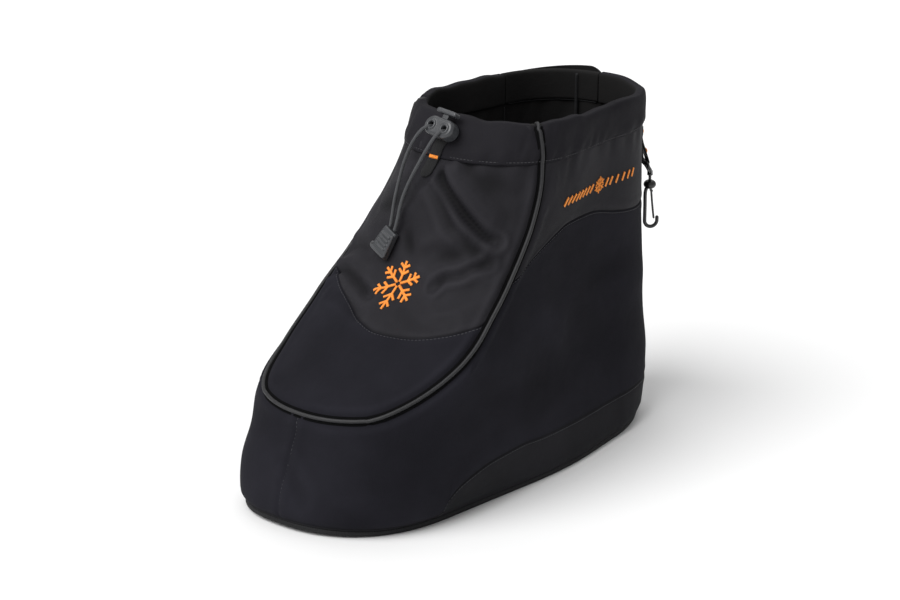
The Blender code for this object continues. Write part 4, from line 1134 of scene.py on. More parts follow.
print("deepest gather, mm:", round(float(dips.max()) * 1000, 2))

# %% [markdown]
# The section and the gathers together give the roll. It ends on both sides of the back flap, so
# the rows of points are closed by two end faces. Its inner side is lining, and the outer side is
# the hem's smooth cloth.

# %% The collar casing
casing_rings = collar_point(casing_turns[None, :], drops, offsets)
waviness = 0.0007 * np.sin(casing_turns * 19.0 + 0.7) + 0.0004 * np.sin(casing_turns * 47.0)
top = (1.0 - smoothstep(drops[:, 0] / 0.014))[:, None]
casing_rings[..., 2] += (waviness - dips_at(casing_turns, RIM_DIPS))[None, :] * top
count = len(casing_turns)
faces = grid_faces(len(section), count, loop=True) + side_faces(len(section), count)
lined = np.zeros(len(faces), int)
inner_row = section[:, 1] < -WALL - 0.3 * CASING_CLOTH
lined[:len(section) * (count - 1)] = np.repeat(inner_row, count - 1)
uv = cloth_uv(walked(casing_rings[10]), walked(section))
casing = make_piece("collar_hem", casing_rings, faces, [HEM, LINING], uv, lined)
settle(casing, "shoe", "collar_casing", slot="shell_fabric")

# %% [markdown]
# At the back the inner side's end of the shaft laps over the outer side's end. The flap is a soft
# panel with a rounded top corner, and it rises a little over the rim. Its rows are counted as drops
# from the rim, with one row on the seam between the two cloths.

# %% The flap's rows
FLAP_CLOTH = 0.003
FLAP_RISE = 0.0045
FLAP_CORNER = 0.01
FLAP_FOOT_LEVEL = 0.85
FLAP_COLUMNS = 60
FLAP_ROWS = 90


def corner_dip(distance):
    held = np.clip(distance, 0.0, FLAP_CORNER)
    return FLAP_CORNER - np.sqrt(FLAP_CORNER ** 2 - (FLAP_CORNER - held) ** 2)


def closer_at_ends(count):
    """Shares from 0 to 1 that lie closer together near both ends."""
    even = np.linspace(0.0, 1.0, count)
    return 0.75 * (0.5 - 0.5 * np.cos(even * math.pi)) + 0.25 * even


flap_u = closer_at_ends(FLAP_COLUMNS)[None, :]
flap_v = closer_at_ends(FLAP_ROWS)[:, None]
flap_turns = FLAP_FREE_TURN + flap_u * (FLAP_ROOT_TURN - FLAP_FREE_TURN)
flap_width = float(np.linalg.norm(form(2.0, FLAP_FREE_TURN) - form(2.0, FLAP_ROOT_TURN)))
dip = corner_dip(flap_u * flap_width)
rise = FLAP_RISE * (1.0 - smoothstep(flap_u)) - dip
flap_low = COLLAR_HEIGHT - float(height_of(FLAP_FOOT_LEVEL)) - dip
flap_seam = (2.0 - main_seam(flap_turns)) * SHAFT
SEAM_ROW = FLAP_ROWS // 2
half_v = flap_v[SEAM_ROW, 0]
flap_drop = np.where(
    flap_v <= half_v,
    flap_low + (flap_seam - flap_low) * flap_v / half_v,
    flap_seam + (-rise - flap_seam) * (flap_v - half_v) / (1.0 - half_v),
)
print("flap width:", round(flap_width * 1000, 1), "mm")

# %% [markdown]
# The flap is a cushion: an inner and an outer face from the same rows, joined by a strip round the
# border. The outer face falls away to the border in a quarter circle and dips along a stitch line.
# A bevel would round it too, but the dip and the slow wave would still have to be made.

# %% The closure flap
FLAP_ROUNDING = 0.0022
FLAP_STITCH_IN = 0.007
flap_cloth = FLAP_CLOTH * (1.0 - 0.6 * smoothstep((flap_u - 0.6) / 0.4))
edge = np.minimum(flap_u * flap_width, np.minimum(flap_v, 1.0 - flap_v) * 0.17)
inward = np.clip(edge / FLAP_ROUNDING, 0.0, 1.0)
rounded = np.sqrt(np.clip(1.0 - (1.0 - inward) ** 2, 0.0, 1.0))
flap_places = np.broadcast_to(flap_turns, flap_drop.shape)
flap_base = form(np.clip(2.0 - flap_drop.clip(0.0) / SHAFT, 0.0, 2.0), flap_places)
wave = 0.0005 * np.sin(flap_base[..., 2] * 70.0) * rounded
hem_dip = 0.0005 * bell(edge - FLAP_STITCH_IN, 0.0009)
thick = flap_cloth * (0.3 + 0.7 * rounded) - hem_dip + wave
inner = collar_point(flap_places, flap_drop, np.full(flap_drop.shape, GAP))
outer = collar_point(flap_places, flap_drop, GAP + thick)
count = FLAP_COLUMNS * FLAP_ROWS
numbers = np.arange(count).reshape(FLAP_ROWS, FLAP_COLUMNS)
border = [*numbers[0], *numbers[1:, -1], *numbers[-1, -2::-1], *numbers[-2:0:-1, 0]]
faces = grid_faces(FLAP_ROWS, FLAP_COLUMNS) + grid_faces(FLAP_ROWS, FLAP_COLUMNS, start=count)
for here, there in zip(border, border[1:] + border[:1]):
    faces.append((here, there, count + there, count + here))
outer_kinds = np.where(np.arange(FLAP_ROWS - 1) >= SEAM_ROW, 0, 1)
kinds = np.zeros(len(faces), int)
side = (FLAP_ROWS - 1) * (FLAP_COLUMNS - 1)
kinds[:side] = 2
kinds[side:2 * side] = np.repeat(outer_kinds, FLAP_COLUMNS - 1)
flat = cloth_uv(walked(outer[FLAP_ROWS // 2]), walked(outer[:, 5]))
flap_points = np.concatenate([inner, outer])
cloths = [SMOOTH, BRUSHED, LINING]
flap = make_piece("back_flap", flap_points, faces, cloths, np.vstack([flat, flat]), kinds)
add_painted_light(flap, np.ones(2 * count))
settle(flap, "shoe", "closure_flap", slot="shell_fabric")

# %% [markdown]
# Looking into the collar, the closure shows from inside: a facing that carries the hem on behind
# the flap, the bound edge of the outer side's end, and two more lining seams. They are shallow
# sweeps that lie on the lining.

# %% The facing and the seams inside
facing_turns = np.linspace(FLAP_FREE_TURN + 0.001, FLAP_ROOT_TURN - 0.001, 70)
inside = -WALL - 0.0002
facing_section = through((
    (0.0215, inside), (0.0215, inside - 0.0008), (0.02, inside - 0.0012), (0.01, inside - 0.0013),
    (0.001, inside - 0.0011), (-0.0012, inside - 0.0004), (-0.0015, -0.5 * WALL),
    (-0.0009, -0.0004),
), 24)
hidden = [(-0.0001, -0.0006), (-0.0001, inside + 0.0004), (0.01, inside + 0.0004)]
facing_section = np.vstack([facing_section, hidden])
facing_drop, facing_off = (facing_section[:, index, None] + 0.0 * facing_turns for index in (0, 1))
facing_rings = collar_point(facing_turns[None, :], facing_drop, facing_off)
rows, count = facing_drop.shape
faces = grid_faces(rows, count, loop=True) + side_faces(rows, count)
uv = cloth_uv(walked(facing_rings[5]), walked(facing_section))
facing = make_piece("closure_facing", facing_rings, faces, LINING, uv)
settle(facing, "shoe", slot="lining_fabric")


def inside_seam(name, at_turns, at_drops, radius=0.0006, stand=0.0):
    """A thin rounded seam that lies on the lining, through turns and drops."""
    places = through(np.column_stack([at_turns, at_drops]), 80)
    line = collar_point(places[:, 0], places[:, 1], np.full(80, inside - stand))
    points, faces, uv = tube(line, radius, around=10)
    settle(make_piece(name, points, faces, BINDING, uv), "shoe", slot="lining_fabric")


SEAM_DROPS = (0.024, 0.05, 0.09)
inside_seam("bound_edge", (BOUND_EDGE_TURN,) * 3, (0.0004, 0.035, 0.085), 0.0013, 0.001)
inside_seam("lining_seam_rear", (0.982,) * 3, SEAM_DROPS)
inside_seam("lining_seam_side", (FLAP_ROOT_TURN,) * 3, SEAM_DROPS)
inside_seam("lining_seam_front", (0.0,) * 3, SEAM_DROPS)
inside_seam("lining_seam_hem", (FLAP_FREE_TURN + 0.006, 1.15, 1.29), (0.0222,) * 3)

# %% [markdown]
# The piping is a thin cord covered in cloth, caught in the seam that runs in a U round the top of
# the toe. Its line lies on the cloth, climbs over the casing's edge and bends in over the rim at
# both ends. A direction that points off the cloth goes with each place, so that the piping never
# rolls over.

# %% The piping's line
PIPING_BEAD = 0.0013
PIPING_FLANGE = 0.0031
PIPING_STATIONS = 420

route = through(PIPING_PATH, PIPING_STATIONS)
drops = (2.0 - route[:, 0]) * SHAFT
seats = np.maximum(overlay_seat(drops, 0.3) - 0.0009, GAP)
base = collar_point(route[:, 1], drops, seats)
normals = outward(route[:, 0], route[:, 1])
# drop, offset and lean of its direction, over the rim
OVER_RIM = (
    (0.001, 0.0006, 0.3), (-0.0008, 0.0, 0.8), (-0.0014, -0.0022, 1.6), (-0.0006, -0.0044, 2.4),
)
for end in (0, -1):
    turn = np.array([route[end, 1]])
    flat = outward(2.0, turn, flat=True)[0]
    extra, ways = [], []
    for drop, offset, lean in OVER_RIM:
        bent = collar_point(turn, np.array([drop + 0.0018]), np.array([offset]))[0]
        extra.append(bent + np.array([0.0, 0.0, 0.0002]))
        ways.append(flat * math.cos(lean) + np.array([0.0, 0.0, math.sin(lean)]))
    if end == 0:
        base, normals = np.vstack([extra[::-1], base[3:]]), np.vstack([ways[::-1], normals[3:]])
    else:
        base, normals = np.vstack([base[:-3], extra]), np.vstack([normals[:-3], ways])
print("piping's line:", round(walked(base)[-1], 3), "m")

# %% [markdown]
# Its section is a bead that stands on a flat flange, because the seam holds the cover down beside
# the cord. A curve with a bevel profile could carry the same section, but would turn it by its own
# rule. The bead is one finish, and the flange is painted near black as the shadow in the groove
# beside the bead.

# %% The piping
FLANGE_POINTS = 3
along = np.gradient(base, axis=0)
along = along / np.linalg.norm(along, axis=1, keepdims=True)
sides = np.cross(normals, along)
sides = sides / np.linalg.norm(sides, axis=1, keepdims=True)
normals = np.cross(along, sides)
angles = np.radians(np.linspace(-12, 192, 13))
bead = [(PIPING_BEAD * math.cos(a), PIPING_BEAD * (0.65 + math.sin(a))) for a in angles]
flange = ((PIPING_FLANGE, -0.0006), (PIPING_FLANGE * 0.97, 0.00022), (PIPING_BEAD * 1.25, 0.0001))
profile = np.array([*flange, *bead, *((-out, up) for out, up in reversed(flange))])
piping_points = base[:, None] + sides[:, None] * profile[None, :, :1]
piping_points = piping_points + normals[:, None] * profile[None, :, 1:]
stations, ring = len(base), len(profile)
faces = grid_faces(stations, ring, wrap=True) + end_faces(stations, ring)
place = np.arange(ring)
on_bead = (place >= FLANGE_POINTS) & (place < ring - FLANGE_POINTS - 1)
# the flange faces take the painted groove shadow
kinds = np.append(np.tile(np.where(on_bead, 0, 1), stations - 1), [1, 1])
uv = cloth_uv(walked(profile), walked(base))
piping = make_piece("piping_cord", piping_points, faces, [PIPING, PAINTED_GROOVE_SHADOW], uv, kinds)
settle(piping, "shoe", "piping", slot="piping_fabric")

# %% [markdown]
# A short length of black webbing is sewn on behind the cord lock. It is a flat band with thin
# edges and a rounded tail, which runs down over the casing's edge on to the shaft and leans a
# little. Rows across it, seated on the cloth, follow the cloth better than a shrinkwrapped plane.

# %% The front tab
TAB_WIDTH = 0.008
TAB_LENGTH = 0.038
TAB_LEAN = -0.011
LOCK_SIDE = 0.004
LOCK_DROP = 0.0085
front_probe = 0.02
front_reach = form(2.0 - LOCK_DROP / SHAFT, front_probe)[0] - FORM_SHIFT[0]
TURN_PER_METRE = front_probe / float(front_reach)


def tab_middle(drop):
    """The turn of the tab's middle at a drop: it leans below the lock."""
    lean = TAB_LEAN * np.maximum(0.0, drop - LOCK_DROP - LOCK_HEIGHT / 4) / TAB_LENGTH
    return (LOCK_SIDE + lean) * TURN_PER_METRE


TAB_ROWS = 60
tab_drops = np.linspace(0.1, 1.0, TAB_ROWS) * TAB_LENGTH
tail = np.clip((tab_drops / TAB_LENGTH - 0.9) / 0.105, 0.0, 1.0)
tab_half = TAB_WIDTH / 2 * np.sqrt(np.clip(1.0 - tail ** 2, 0.02, 1.0))
across = np.array([-1.0, -0.93, -0.6, -0.2, 0.2, 0.6, 0.93, 1.0, 1.0, 0.0, -1.0])
lifts = TAB_CLOTH * np.array([0.45, 0.9, 1.0, 1.0, 1.0, 1.0, 0.9, 0.45, 0.0, 0.0, 0.0])
seat = overlay_seat(tab_drops, 0.03)
tab_across = across[None, :] * tab_half[:, None] * TURN_PER_METRE
tab_turns = tab_middle(tab_drops)[:, None] + tab_across
tab_places = np.broadcast_to(tab_drops[:, None], tab_turns.shape)
tab_points = collar_point(tab_turns, tab_places, seat[:, None] + lifts[None, :])
ring = len(across)
faces = grid_faces(TAB_ROWS, ring, wrap=True) + end_faces(TAB_ROWS, ring)
uv = cloth_uv(across * TAB_WIDTH / 2, tab_drops)
front_tab = make_piece("front_tab_webbing", tab_points, faces, WEBBING, uv)
settle(front_tab, "shoe", "front_tab", slot="webbing")

# %% [markdown]
# The back loop is the same webbing, folded round the clip's eye, with both ends sewn to the shaft.
# It is placed in the clip's own directions: out from the shoe, across and up. Its line goes down
# the wall, round the eye's bar and up again one thickness further out. A cloth simulation is not
# needed, because a folded band has only this one shape.

# %% The loop's line
CLIP_PIVOT = Vector((0.03739, 0.16132, 0.1855))
CLIP_OUT = Vector((0.6024, 0.7982, 0.0)).normalized()
CLIP_ACROSS = Vector((-0.7982, 0.6024, 0.0)).normalized()
CLIP_TURN = 0.885
CLIP_HEIGHT = 0.1855
LOOP_WIDTH = 0.01
LOOP_RISE = 0.027
RING_BAR = 0.0024


LOOP_ROWS = 90


def on_clip(points, drop=0.0, offset=0.0):
    """Points given as out, across and up from the clip's pivot, in the row frame."""
    axes = np.array([CLIP_OUT, CLIP_ACROSS, (0.0, 0.0, 1.0)])
    start = np.array(CLIP_PIVOT) + np.array(CLIP_OUT) * offset - np.array([0.0, 0.0, drop])
    return np.asarray(points, float) @ axes + start


wrap = RING_BAR / 2 + GAP
fold = wrap + TAB_CLOTH / 2
wall = []
for rise_up in (LOOP_RISE, 0.8 * LOOP_RISE, 0.62 * LOOP_RISE):
    point = Vector(form(level_of(CLIP_HEIGHT + rise_up), CLIP_TURN))
    wall.append(((point - CLIP_PIVOT).dot(CLIP_OUT) + GAP + TAB_CLOTH / 2, rise_up))
bends = [math.radians(angle) for angle in range(165, 391, 15)]
loop_line = wall + [(fold * math.cos(angle), fold * math.sin(angle)) for angle in bends]
loop_line += [(out + TAB_CLOTH, up) for out, up in reversed(wall)]
loop_line = through(loop_line, LOOP_ROWS)
print("loop, opened out:", round(walked(loop_line)[-1] * 1000, 1), "mm")

# %% [markdown]
# The band itself is a thin section carried along that line. Its edges are thinner than its middle,
# as webbing is, and its weave runs along it.

# %% The back loop
side_way = np.gradient(loop_line, axis=0)
side_way = side_way / np.linalg.norm(side_way, axis=1, keepdims=True)
normal_way = np.column_stack([-side_way[:, 1], side_way[:, 0]])
across = np.array([-1.0, -0.93, -0.5, 0.0, 0.5, 0.93, 1.0, 1.0, 0.93, 0.0, -0.93, -1.0])
lifts = np.array([0.2, 0.48, 0.5, 0.5, 0.5, 0.48, 0.2, -0.2, -0.48, -0.5, -0.48, -0.2])
lifts = lifts * (TAB_CLOTH - 0.0001)
loop_points = []
for (out, up), (n_out, n_up) in zip(loop_line, normal_way):
    for a, lift in zip(across, lifts):
        loop_points.append((out + n_out * lift, a * LOOP_WIDTH / 2, up + n_up * lift))
ring = len(across)
faces = grid_faces(LOOP_ROWS, ring, wrap=True) + end_faces(LOOP_ROWS, ring)
uv = cloth_uv(across * LOOP_WIDTH / 2, walked(loop_line))
back_loop = make_piece("back_loop_webbing", on_clip(loop_points), faces, WEBBING, uv)
settle(back_loop, "shoe", "back_loop", slot="webbing")

# %% [markdown]
# Real mouldings have no sharp corner. So each plastic piece is put together from simple solids,
# joined and cut, and then remeshed into one skin and smoothed. These are the simple solids: a rod,
# a ring, a box and a bar with round ends.

# %% Simple solids
QUARTER = np.linspace(0, math.pi / 2, 5)


def solid(points, faces):
    mesh = bpy.data.meshes.new("solid")
    mesh.from_pydata(np.asarray(points, float).reshape(-1, 3).tolist(), [], faces)
    face_outwards(mesh)
    return linked("solid", mesh)


def rod_solid(line, radius, around, closed=False, domed=True):
    points, faces, _ = tube(line, radius, around, closed=closed, domed=domed)
    return solid(points, faces)


def rounded_bar(length, depth, height, soft, middle=(0.0, 0.0, 0.0), around=40):
    """A bar along X with round ends and quarter-round edges front and back."""
    radius = height / 2
    centre = length / 2 - radius
    angles = np.linspace(0, 2 * math.pi, around, endpoint=False)
    quarter = [(soft * (1 - math.cos(a)), soft * (1 - math.sin(a))) for a in QUARTER]
    steps = [(-depth / 2 + run, inset) for run, inset in quarter]
    steps += [(-y, inset) for y, inset in reversed(steps)]
    points = []
    for y, inset in steps:
        for angle in angles:
            x = math.copysign(centre, math.cos(angle)) + (radius - inset) * math.cos(angle)
            z = (radius - inset) * math.sin(angle)
            points.append((x + middle[0], y + middle[1], z + middle[2]))
    return solid(points, grid_faces(len(steps), around, wrap=True) + end_faces(len(steps), around))


def box_solid(size, middle):
    mesh = bmesh.new()
    bmesh.ops.create_cube(mesh, size=1.0)
    bmesh.ops.scale(mesh, vec=size, verts=mesh.verts)
    bmesh.ops.translate(mesh, vec=middle, verts=mesh.verts)
    data = bpy.data.meshes.new("solid")
    mesh.to_mesh(data)
    mesh.free()
    return linked("solid", data)


def torus_solid(radius, rod, middle, around=32, section=12):
    angles = np.linspace(0, 2 * math.pi, around, endpoint=False)
    line = np.column_stack([np.cos(angles) * radius, np.zeros(around), np.sin(angles) * radius])
    return rod_solid(line + np.array(middle), rod, section, closed=True)


print("steps in a bar's edge:", len(QUARTER))

# %% [markdown]
# Booleans join and cut the solids. A voxel remesh then makes one even skin over them, and a smooth
# modifier softens every edge at once. Bevels would keep fewer faces, but fail where the cuts meet.
# A matrix built from three directions puts the finished piece in its place.

# %% One skin over several solids
def as_mesh(piece):
    """The piece's mesh with its modifiers applied."""
    bpy.context.view_layer.update()
    evaluated = piece.evaluated_get(bpy.context.evaluated_depsgraph_get())
    return bpy.data.meshes.new_from_object(evaluated)


def joined(base, others, operation):
    for other in others:
        modifier = base.modifiers.new("cut", "BOOLEAN")
        modifier.operation = operation
        modifier.object = other
        modifier.solver = "EXACT"
        mesh = as_mesh(base)
        base.modifiers.clear()
        base.data = mesh
        bpy.data.objects.remove(other, do_unlink=True)
    return base


def moulded(name, base, voxel, smooth, finish, matrix):
    """One smooth skin over the solid, put in its place, with its finish."""
    remesh = base.modifiers.new("skin", "REMESH")
    remesh.mode = "VOXEL"
    remesh.voxel_size = voxel
    relax = base.modifiers.new("relax", "SMOOTH")
    relax.factor = 0.5
    relax.iterations = smooth
    mesh = as_mesh(base)
    bpy.data.objects.remove(base, do_unlink=True)
    mesh.transform(matrix)
    mesh.name = name
    mesh.materials.clear()
    mesh.materials.append(finish)
    mesh.shade_smooth()
    return linked(name, mesh)


def seat_matrix(middle, side, out, up):
    return Matrix.Translation(middle) @ Matrix((side, out, up)).transposed().to_4x4()


lock_matrix = seat_matrix(LOCK_MIDDLE, LOCK_SIDE_AXIS, LOCK_OUT_AXIS, LOCK_UP_AXIS)
print("the lock sits at", [round(value, 4) for value in lock_matrix.translation])

# %% [markdown]
# The cord lock's body is a moulded bar with round ends. It has two holes for the strands, each with
# a raised rim, a thin back plate, and a slot in its top in which the button's stem slides. The
# slot's sizes repeat the CAD part, so that the stem keeps its clearance.

# %% The cord lock's body
BUTTON_LENGTH = 0.017
BUTTON_DEPTH = 0.0065
BUTTON_THICKNESS = 0.0032
BUTTON_TRAVEL = 0.0025
STEM_WIDTH = 0.0046
STEM_DEPTH = 0.0034
STEM_LENGTH = 0.007
SLIDE_GAP = 0.0004

HOLE_RIM = 0.0009
half_gap = LOCK_HOLE_SPACING / 2
size = (LOCK_LENGTH - 0.0006, LOCK_DEPTH - 0.001, LOCK_HEIGHT - 0.0006)
lock = rounded_bar(*size, 0.0022, (0, -0.0005, 0))
plate = (LOCK_LENGTH - 0.0022, 0.0016, LOCK_HEIGHT - 0.0022)
trims, cuts = [], []
for side in (-1, 1):
    rim_middle = (side * half_gap, LOCK_DEPTH / 2 - HOLE_RIM, 0.0)
    trims.append(torus_solid(LOCK_HOLE / 2 + HOLE_RIM, HOLE_RIM, rim_middle))
trims.append(rounded_bar(*plate, 0.0007, (0, -LOCK_DEPTH / 2 + 0.0009, 0)))
lock = joined(lock, trims, "UNION")
for side in (-1, 1):
    line = [(side * half_gap, y, 0.0) for y in (-LOCK_DEPTH, 0.0, LOCK_DEPTH)]
    cuts.append(rod_solid(line, LOCK_HOLE / 2, 24, domed=False))
slot = (STEM_WIDTH + 2 * SLIDE_GAP, STEM_DEPTH + 2 * SLIDE_GAP, 2 * (STEM_LENGTH + SLIDE_GAP))
cuts.append(box_solid(slot, (0, 0, LOCK_HEIGHT / 2)))
lock = joined(lock, cuts, "DIFFERENCE")
lock_body = moulded("cord_lock_body", lock, 0.00022, 4, LOCK_PLASTIC, lock_matrix)
settle(lock_body, "shoe", "lock_body", slot="lock_plastic")

# %% [markdown]
# The button is the sprung bar on top of the lock, with four small ribs for the thumb and a stem
# that goes down into the slot. It is a body of its own, because it moves.

# %% The cord lock's button
middle = (0, 0, BUTTON_THICKNESS / 2)
button = rounded_bar(BUTTON_LENGTH, BUTTON_DEPTH, BUTTON_THICKNESS, 0.001, middle, around=32)
stem = box_solid((STEM_WIDTH, STEM_DEPTH, STEM_LENGTH), (0, 0, -STEM_LENGTH / 2 + 0.001))
ribs = []
reach = BUTTON_DEPTH / 2 - 0.001
for place in (-0.004, -0.0013, 0.0013, 0.004):
    line = [(place, y, BUTTON_THICKNESS - 0.0001) for y in (-reach, 0.0, reach)]
    ribs.append(rod_solid(line, 0.0004, 10))
button = joined(button, [stem] + ribs, "UNION")
button_seat = LOCK_MIDDLE + LOCK_UP_AXIS * (LOCK_HEIGHT / 2 + BUTTON_TRAVEL + GAP)
button_matrix = seat_matrix(button_seat, LOCK_SIDE_AXIS, LOCK_OUT_AXIS, LOCK_UP_AXIS)
lock_button = moulded("cord_lock_button", button, 0.0002, 3, LOCK_PLASTIC, button_matrix)
settle(lock_button, "button", "lock_button", slot="lock_plastic")

# %% [markdown]
# Ribs and stitches repeat at even steps along a line. Copies placed in Python would work, but a
# small Geometry Nodes tree says it once: make the line a curve, put points at even steps, turn each
# piece along the line and up from the cloth, and make the copies real. The step, the piece and the
# finish are its inputs.

# %% A tree that repeats a piece along a line
def repeat_tree():
    """Puts an object at even steps along every line of a mesh, turned with the line."""
    tree = bpy.data.node_groups.new("repeat along a line", "GeometryNodeTree")
    put = tree.interface.new_socket
    put("Geometry", in_out="INPUT", socket_type="NodeSocketGeometry")
    put("Step", in_out="INPUT", socket_type="NodeSocketFloat")
    put("Piece", in_out="INPUT", socket_type="NodeSocketObject")
    put("Finish", in_out="INPUT", socket_type="NodeSocketMaterial")
    put("Geometry", in_out="OUTPUT", socket_type="NodeSocketGeometry")
    make, link = tree.nodes.new, tree.links.new
    source, result = make("NodeGroupInput"), make("NodeGroupOutput")
    curve = make("GeometryNodeMeshToCurve")
    even = make("GeometryNodeResampleCurve")
    even.mode = "LENGTH"
    piece = make("GeometryNodeObjectInfo")
    tangent = make("GeometryNodeInputTangent")
    lift = make("GeometryNodeInputNamedAttribute")
    lift.data_type = "FLOAT_VECTOR"
    lift.inputs["Name"].default_value = "lift"
    turn = make("FunctionNodeAlignRotationToVector")
    turn.axis = "X"
    stand = make("FunctionNodeAlignRotationToVector")
    stand.axis = "Z"
    stand.pivot_axis = "X"
    place = make("GeometryNodeInstanceOnPoints")
    real = make("GeometryNodeRealizeInstances")
    paint = make("GeometryNodeSetMaterial")
    for start, output, end, entry in (
        (source, "Geometry", curve, "Mesh"), (curve, "Curve", even, "Curve"),
        (source, "Step", even, "Length"), (source, "Piece", piece, "Object"),
        (tangent, "Tangent", turn, "Vector"), (turn, "Rotation", stand, "Rotation"),
        (lift, "Attribute", stand, "Vector"), (even, "Curve", place, "Points"),
        (piece, "Geometry", place, "Instance"), (stand, "Rotation", place, "Rotation"),
        (place, "Instances", real, "Geometry"), (real, "Geometry", paint, "Geometry"),
        (source, "Finish", paint, "Material"), (paint, "Geometry", result, "Geometry"),
    ):
        link(start.outputs[output], end.inputs[entry])
    return tree


REPEAT = repeat_tree()
print("repeat tree:", len(REPEAT.nodes), "nodes")

# %% [markdown]
# The tree needs two things to work on. A grain of thread is a low lens, light enough to repeat
# some thousand times. The lines are a mesh of edges that carries, at each point, the direction off
# the cloth. The result is made a plain mesh, so that the piece needs no tree any more.

# %% Threads repeated along lines
def grain_of_thread(length, width, height):
    """One stitch: a low lens of 30 faces, along X, with its foot in the cloth."""
    mesh = bmesh.new()
    bmesh.ops.create_uvsphere(mesh, u_segments=6, v_segments=4, radius=1.0)
    lying = Matrix.Rotation(math.pi / 2, 3, "Y")
    bmesh.ops.rotate(mesh, cent=(0, 0, 0), matrix=lying, verts=mesh.verts)
    bmesh.ops.scale(mesh, vec=(length / 2, width / 2, height / 2), verts=mesh.verts)
    for face in mesh.faces:
        face.smooth = True
    data = bpy.data.meshes.new("grain")
    mesh.to_mesh(data)
    mesh.free()
    return linked("grain", data)


def repeated(name, lines, step, piece, finish):
    """A plain mesh of a piece repeated along lines, each given with its outward directions."""
    points, edges, ups = [], [], []
    for line, lift in lines:
        start = len(points)
        points.extend(np.asarray(line, float).tolist())
        ups.extend(np.asarray(lift, float).tolist())
        edges.extend((start + index, start + index + 1) for index in range(len(line) - 1))
    mesh = bpy.data.meshes.new(name)
    mesh.from_pydata(points, edges, [])
    layer = mesh.attributes.new("lift", "FLOAT_VECTOR", "POINT")
    layer.data.foreach_set("vector", np.asarray(ups, np.float32).ravel())
    carrier = linked(name, mesh)
    modifier = carrier.modifiers.new("repeat", "NODES")
    modifier.node_group = REPEAT
    values = {"Step": float(step), "Piece": piece, "Finish": finish}
    for item in REPEAT.interface.items_tree:
        if item.in_out == "INPUT" and item.name in values:
            modifier[item.identifier] = values[item.name]
    result = as_mesh(carrier)
    bpy.data.objects.remove(carrier, do_unlink=True)
    result.name = name
    if "cloth" not in result.uv_layers:
        result.uv_layers.new(name="cloth")
    return linked(name, result)


print("inputs of the tree:", [item.name for item in REPEAT.interface.items_tree])

# %% [markdown]
# The cord end is a flat tapered block in which both strands end. A raised frame runs round three
# sides of its face, and four ribs cross it for the fingers. The block is a stack of outlines with
# cut corners. The ribs get shorter with the taper, so a plain loop makes them.

# %% The cord end
END_RIBS = 4
END_RIB_RADIUS, END_FRAME_RADIUS = 0.00105, 0.001
END_CORNER = 0.0008


def end_half(share):
    """Half the cord end's width, at a share of its length from the foot."""
    return (END_FOOT_WIDTH + (END_TOP_WIDTH - END_FOOT_WIDTH) * share) / 2


sections = []
for height, front in (
    (-0.5, 0.3), (-0.47, 0.4), (-0.3, 0.44), (0.1, 0.42), (0.32, 0.38), (0.46, 0.3), (0.5, 0.22),
):
    half, soft = end_half(height + 0.5), END_CORNER
    back, face = -END_THICKNESS / 2, front * END_THICKNESS
    outline = (
        (-half, back + soft), (-half + soft, back), (half - soft, back), (half, back + soft),
        (half, face - soft), (half - soft, face), (-half + soft, face), (-half, face - soft),
    )
    sections.append([(x, y, height * END_LENGTH) for x, y in outline])
block = solid(sections, grid_faces(len(sections), 8, wrap=True) + end_faces(len(sections), 8))
rib_bars = []
front_face = 0.42 * END_THICKNESS
for index in range(END_RIBS):
    height = -0.2 + index * 0.155
    half = 0.72 * end_half(height + 0.5)
    line = [(x, front_face, height * END_LENGTH) for x in (-half, 0, half)]
    rib_bars.append(rod_solid(line, END_RIB_RADIUS, 12))
foot = END_FOOT_WIDTH
frame_line = np.array([(0.46 * END_TOP_WIDTH, front_face - 0.0001, 0.42 * END_LENGTH)] + [
    (across * foot, front_face, up * END_LENGTH) for across, up in (
        (0.455, -0.25), (0.45, -0.42), (0.0, -0.44), (-0.45, -0.42), (-0.455, -0.25),
    )
])
rib_bars.append(rod_solid(through(frame_line, 40), END_FRAME_RADIUS, 12))
block = joined(block, rib_bars, "UNION")
end_matrix = seat_matrix(end_middle, end_side, end_out, end_up)
cord_end = moulded("cord_end_block", block, 0.0002, 3, LOCK_PLASTIC, end_matrix)
settle(cord_end, "shoe", "cord_end", slot="lock_plastic")
for piece, line in ((cord_left, left_line), (cord_right, right_line)):
    tuple(line[0])
    float(walked(line)[-1])

# %% [markdown]
# The clip is three moulded pieces: the eye that hangs in the loop, the swivel ball with its J hook,
# and the springy gate. The eye is a rod bent in a loop, with a post below it that ends in a head
# inside the ball, so that the hook can turn. Rods remeshed together get the soft fillets of a
# moulding.

# %% The clip's eye
SWIVEL_OFFSET = 0.0044
RING_DROP = 0.0085
BALL = 0.0046
BALL_FLAT = 0.75
BALL_DROP = 0.018
POST = 0.0022
POST_HEAD = 0.0038
BOSS_RADIUS = 0.0021
HOOK_DROP = 0.0515
HOOK_ROD = 0.0027
HOOK_SPINE = 0.0032
HOOK_ROUND = 0.0046
HOOK_TIP = 0.0035
GATE_ROD = 0.0016
GATE_HEAD = 0.0021
GATE_OFFSET = 0.0012


def closed_through(points, count):
    points = np.asarray(points, float)
    line = through(np.vstack([points[-2:], points, points[:3]]), 6 * count)
    start = int(np.argmin(np.linalg.norm(line - points[0], axis=1)))
    later = line[start + 40:]
    end = start + 40 + int(np.argmin(np.linalg.norm(later - points[0], axis=1)))
    return resampled(line[start:end + 1], count, endpoint=False)


def upright(out, heights, radius, around=14):
    """An upright rod with flat ends, through three heights."""
    return rod_solid([(out, 0, height) for height in heights], radius, around, domed=False)


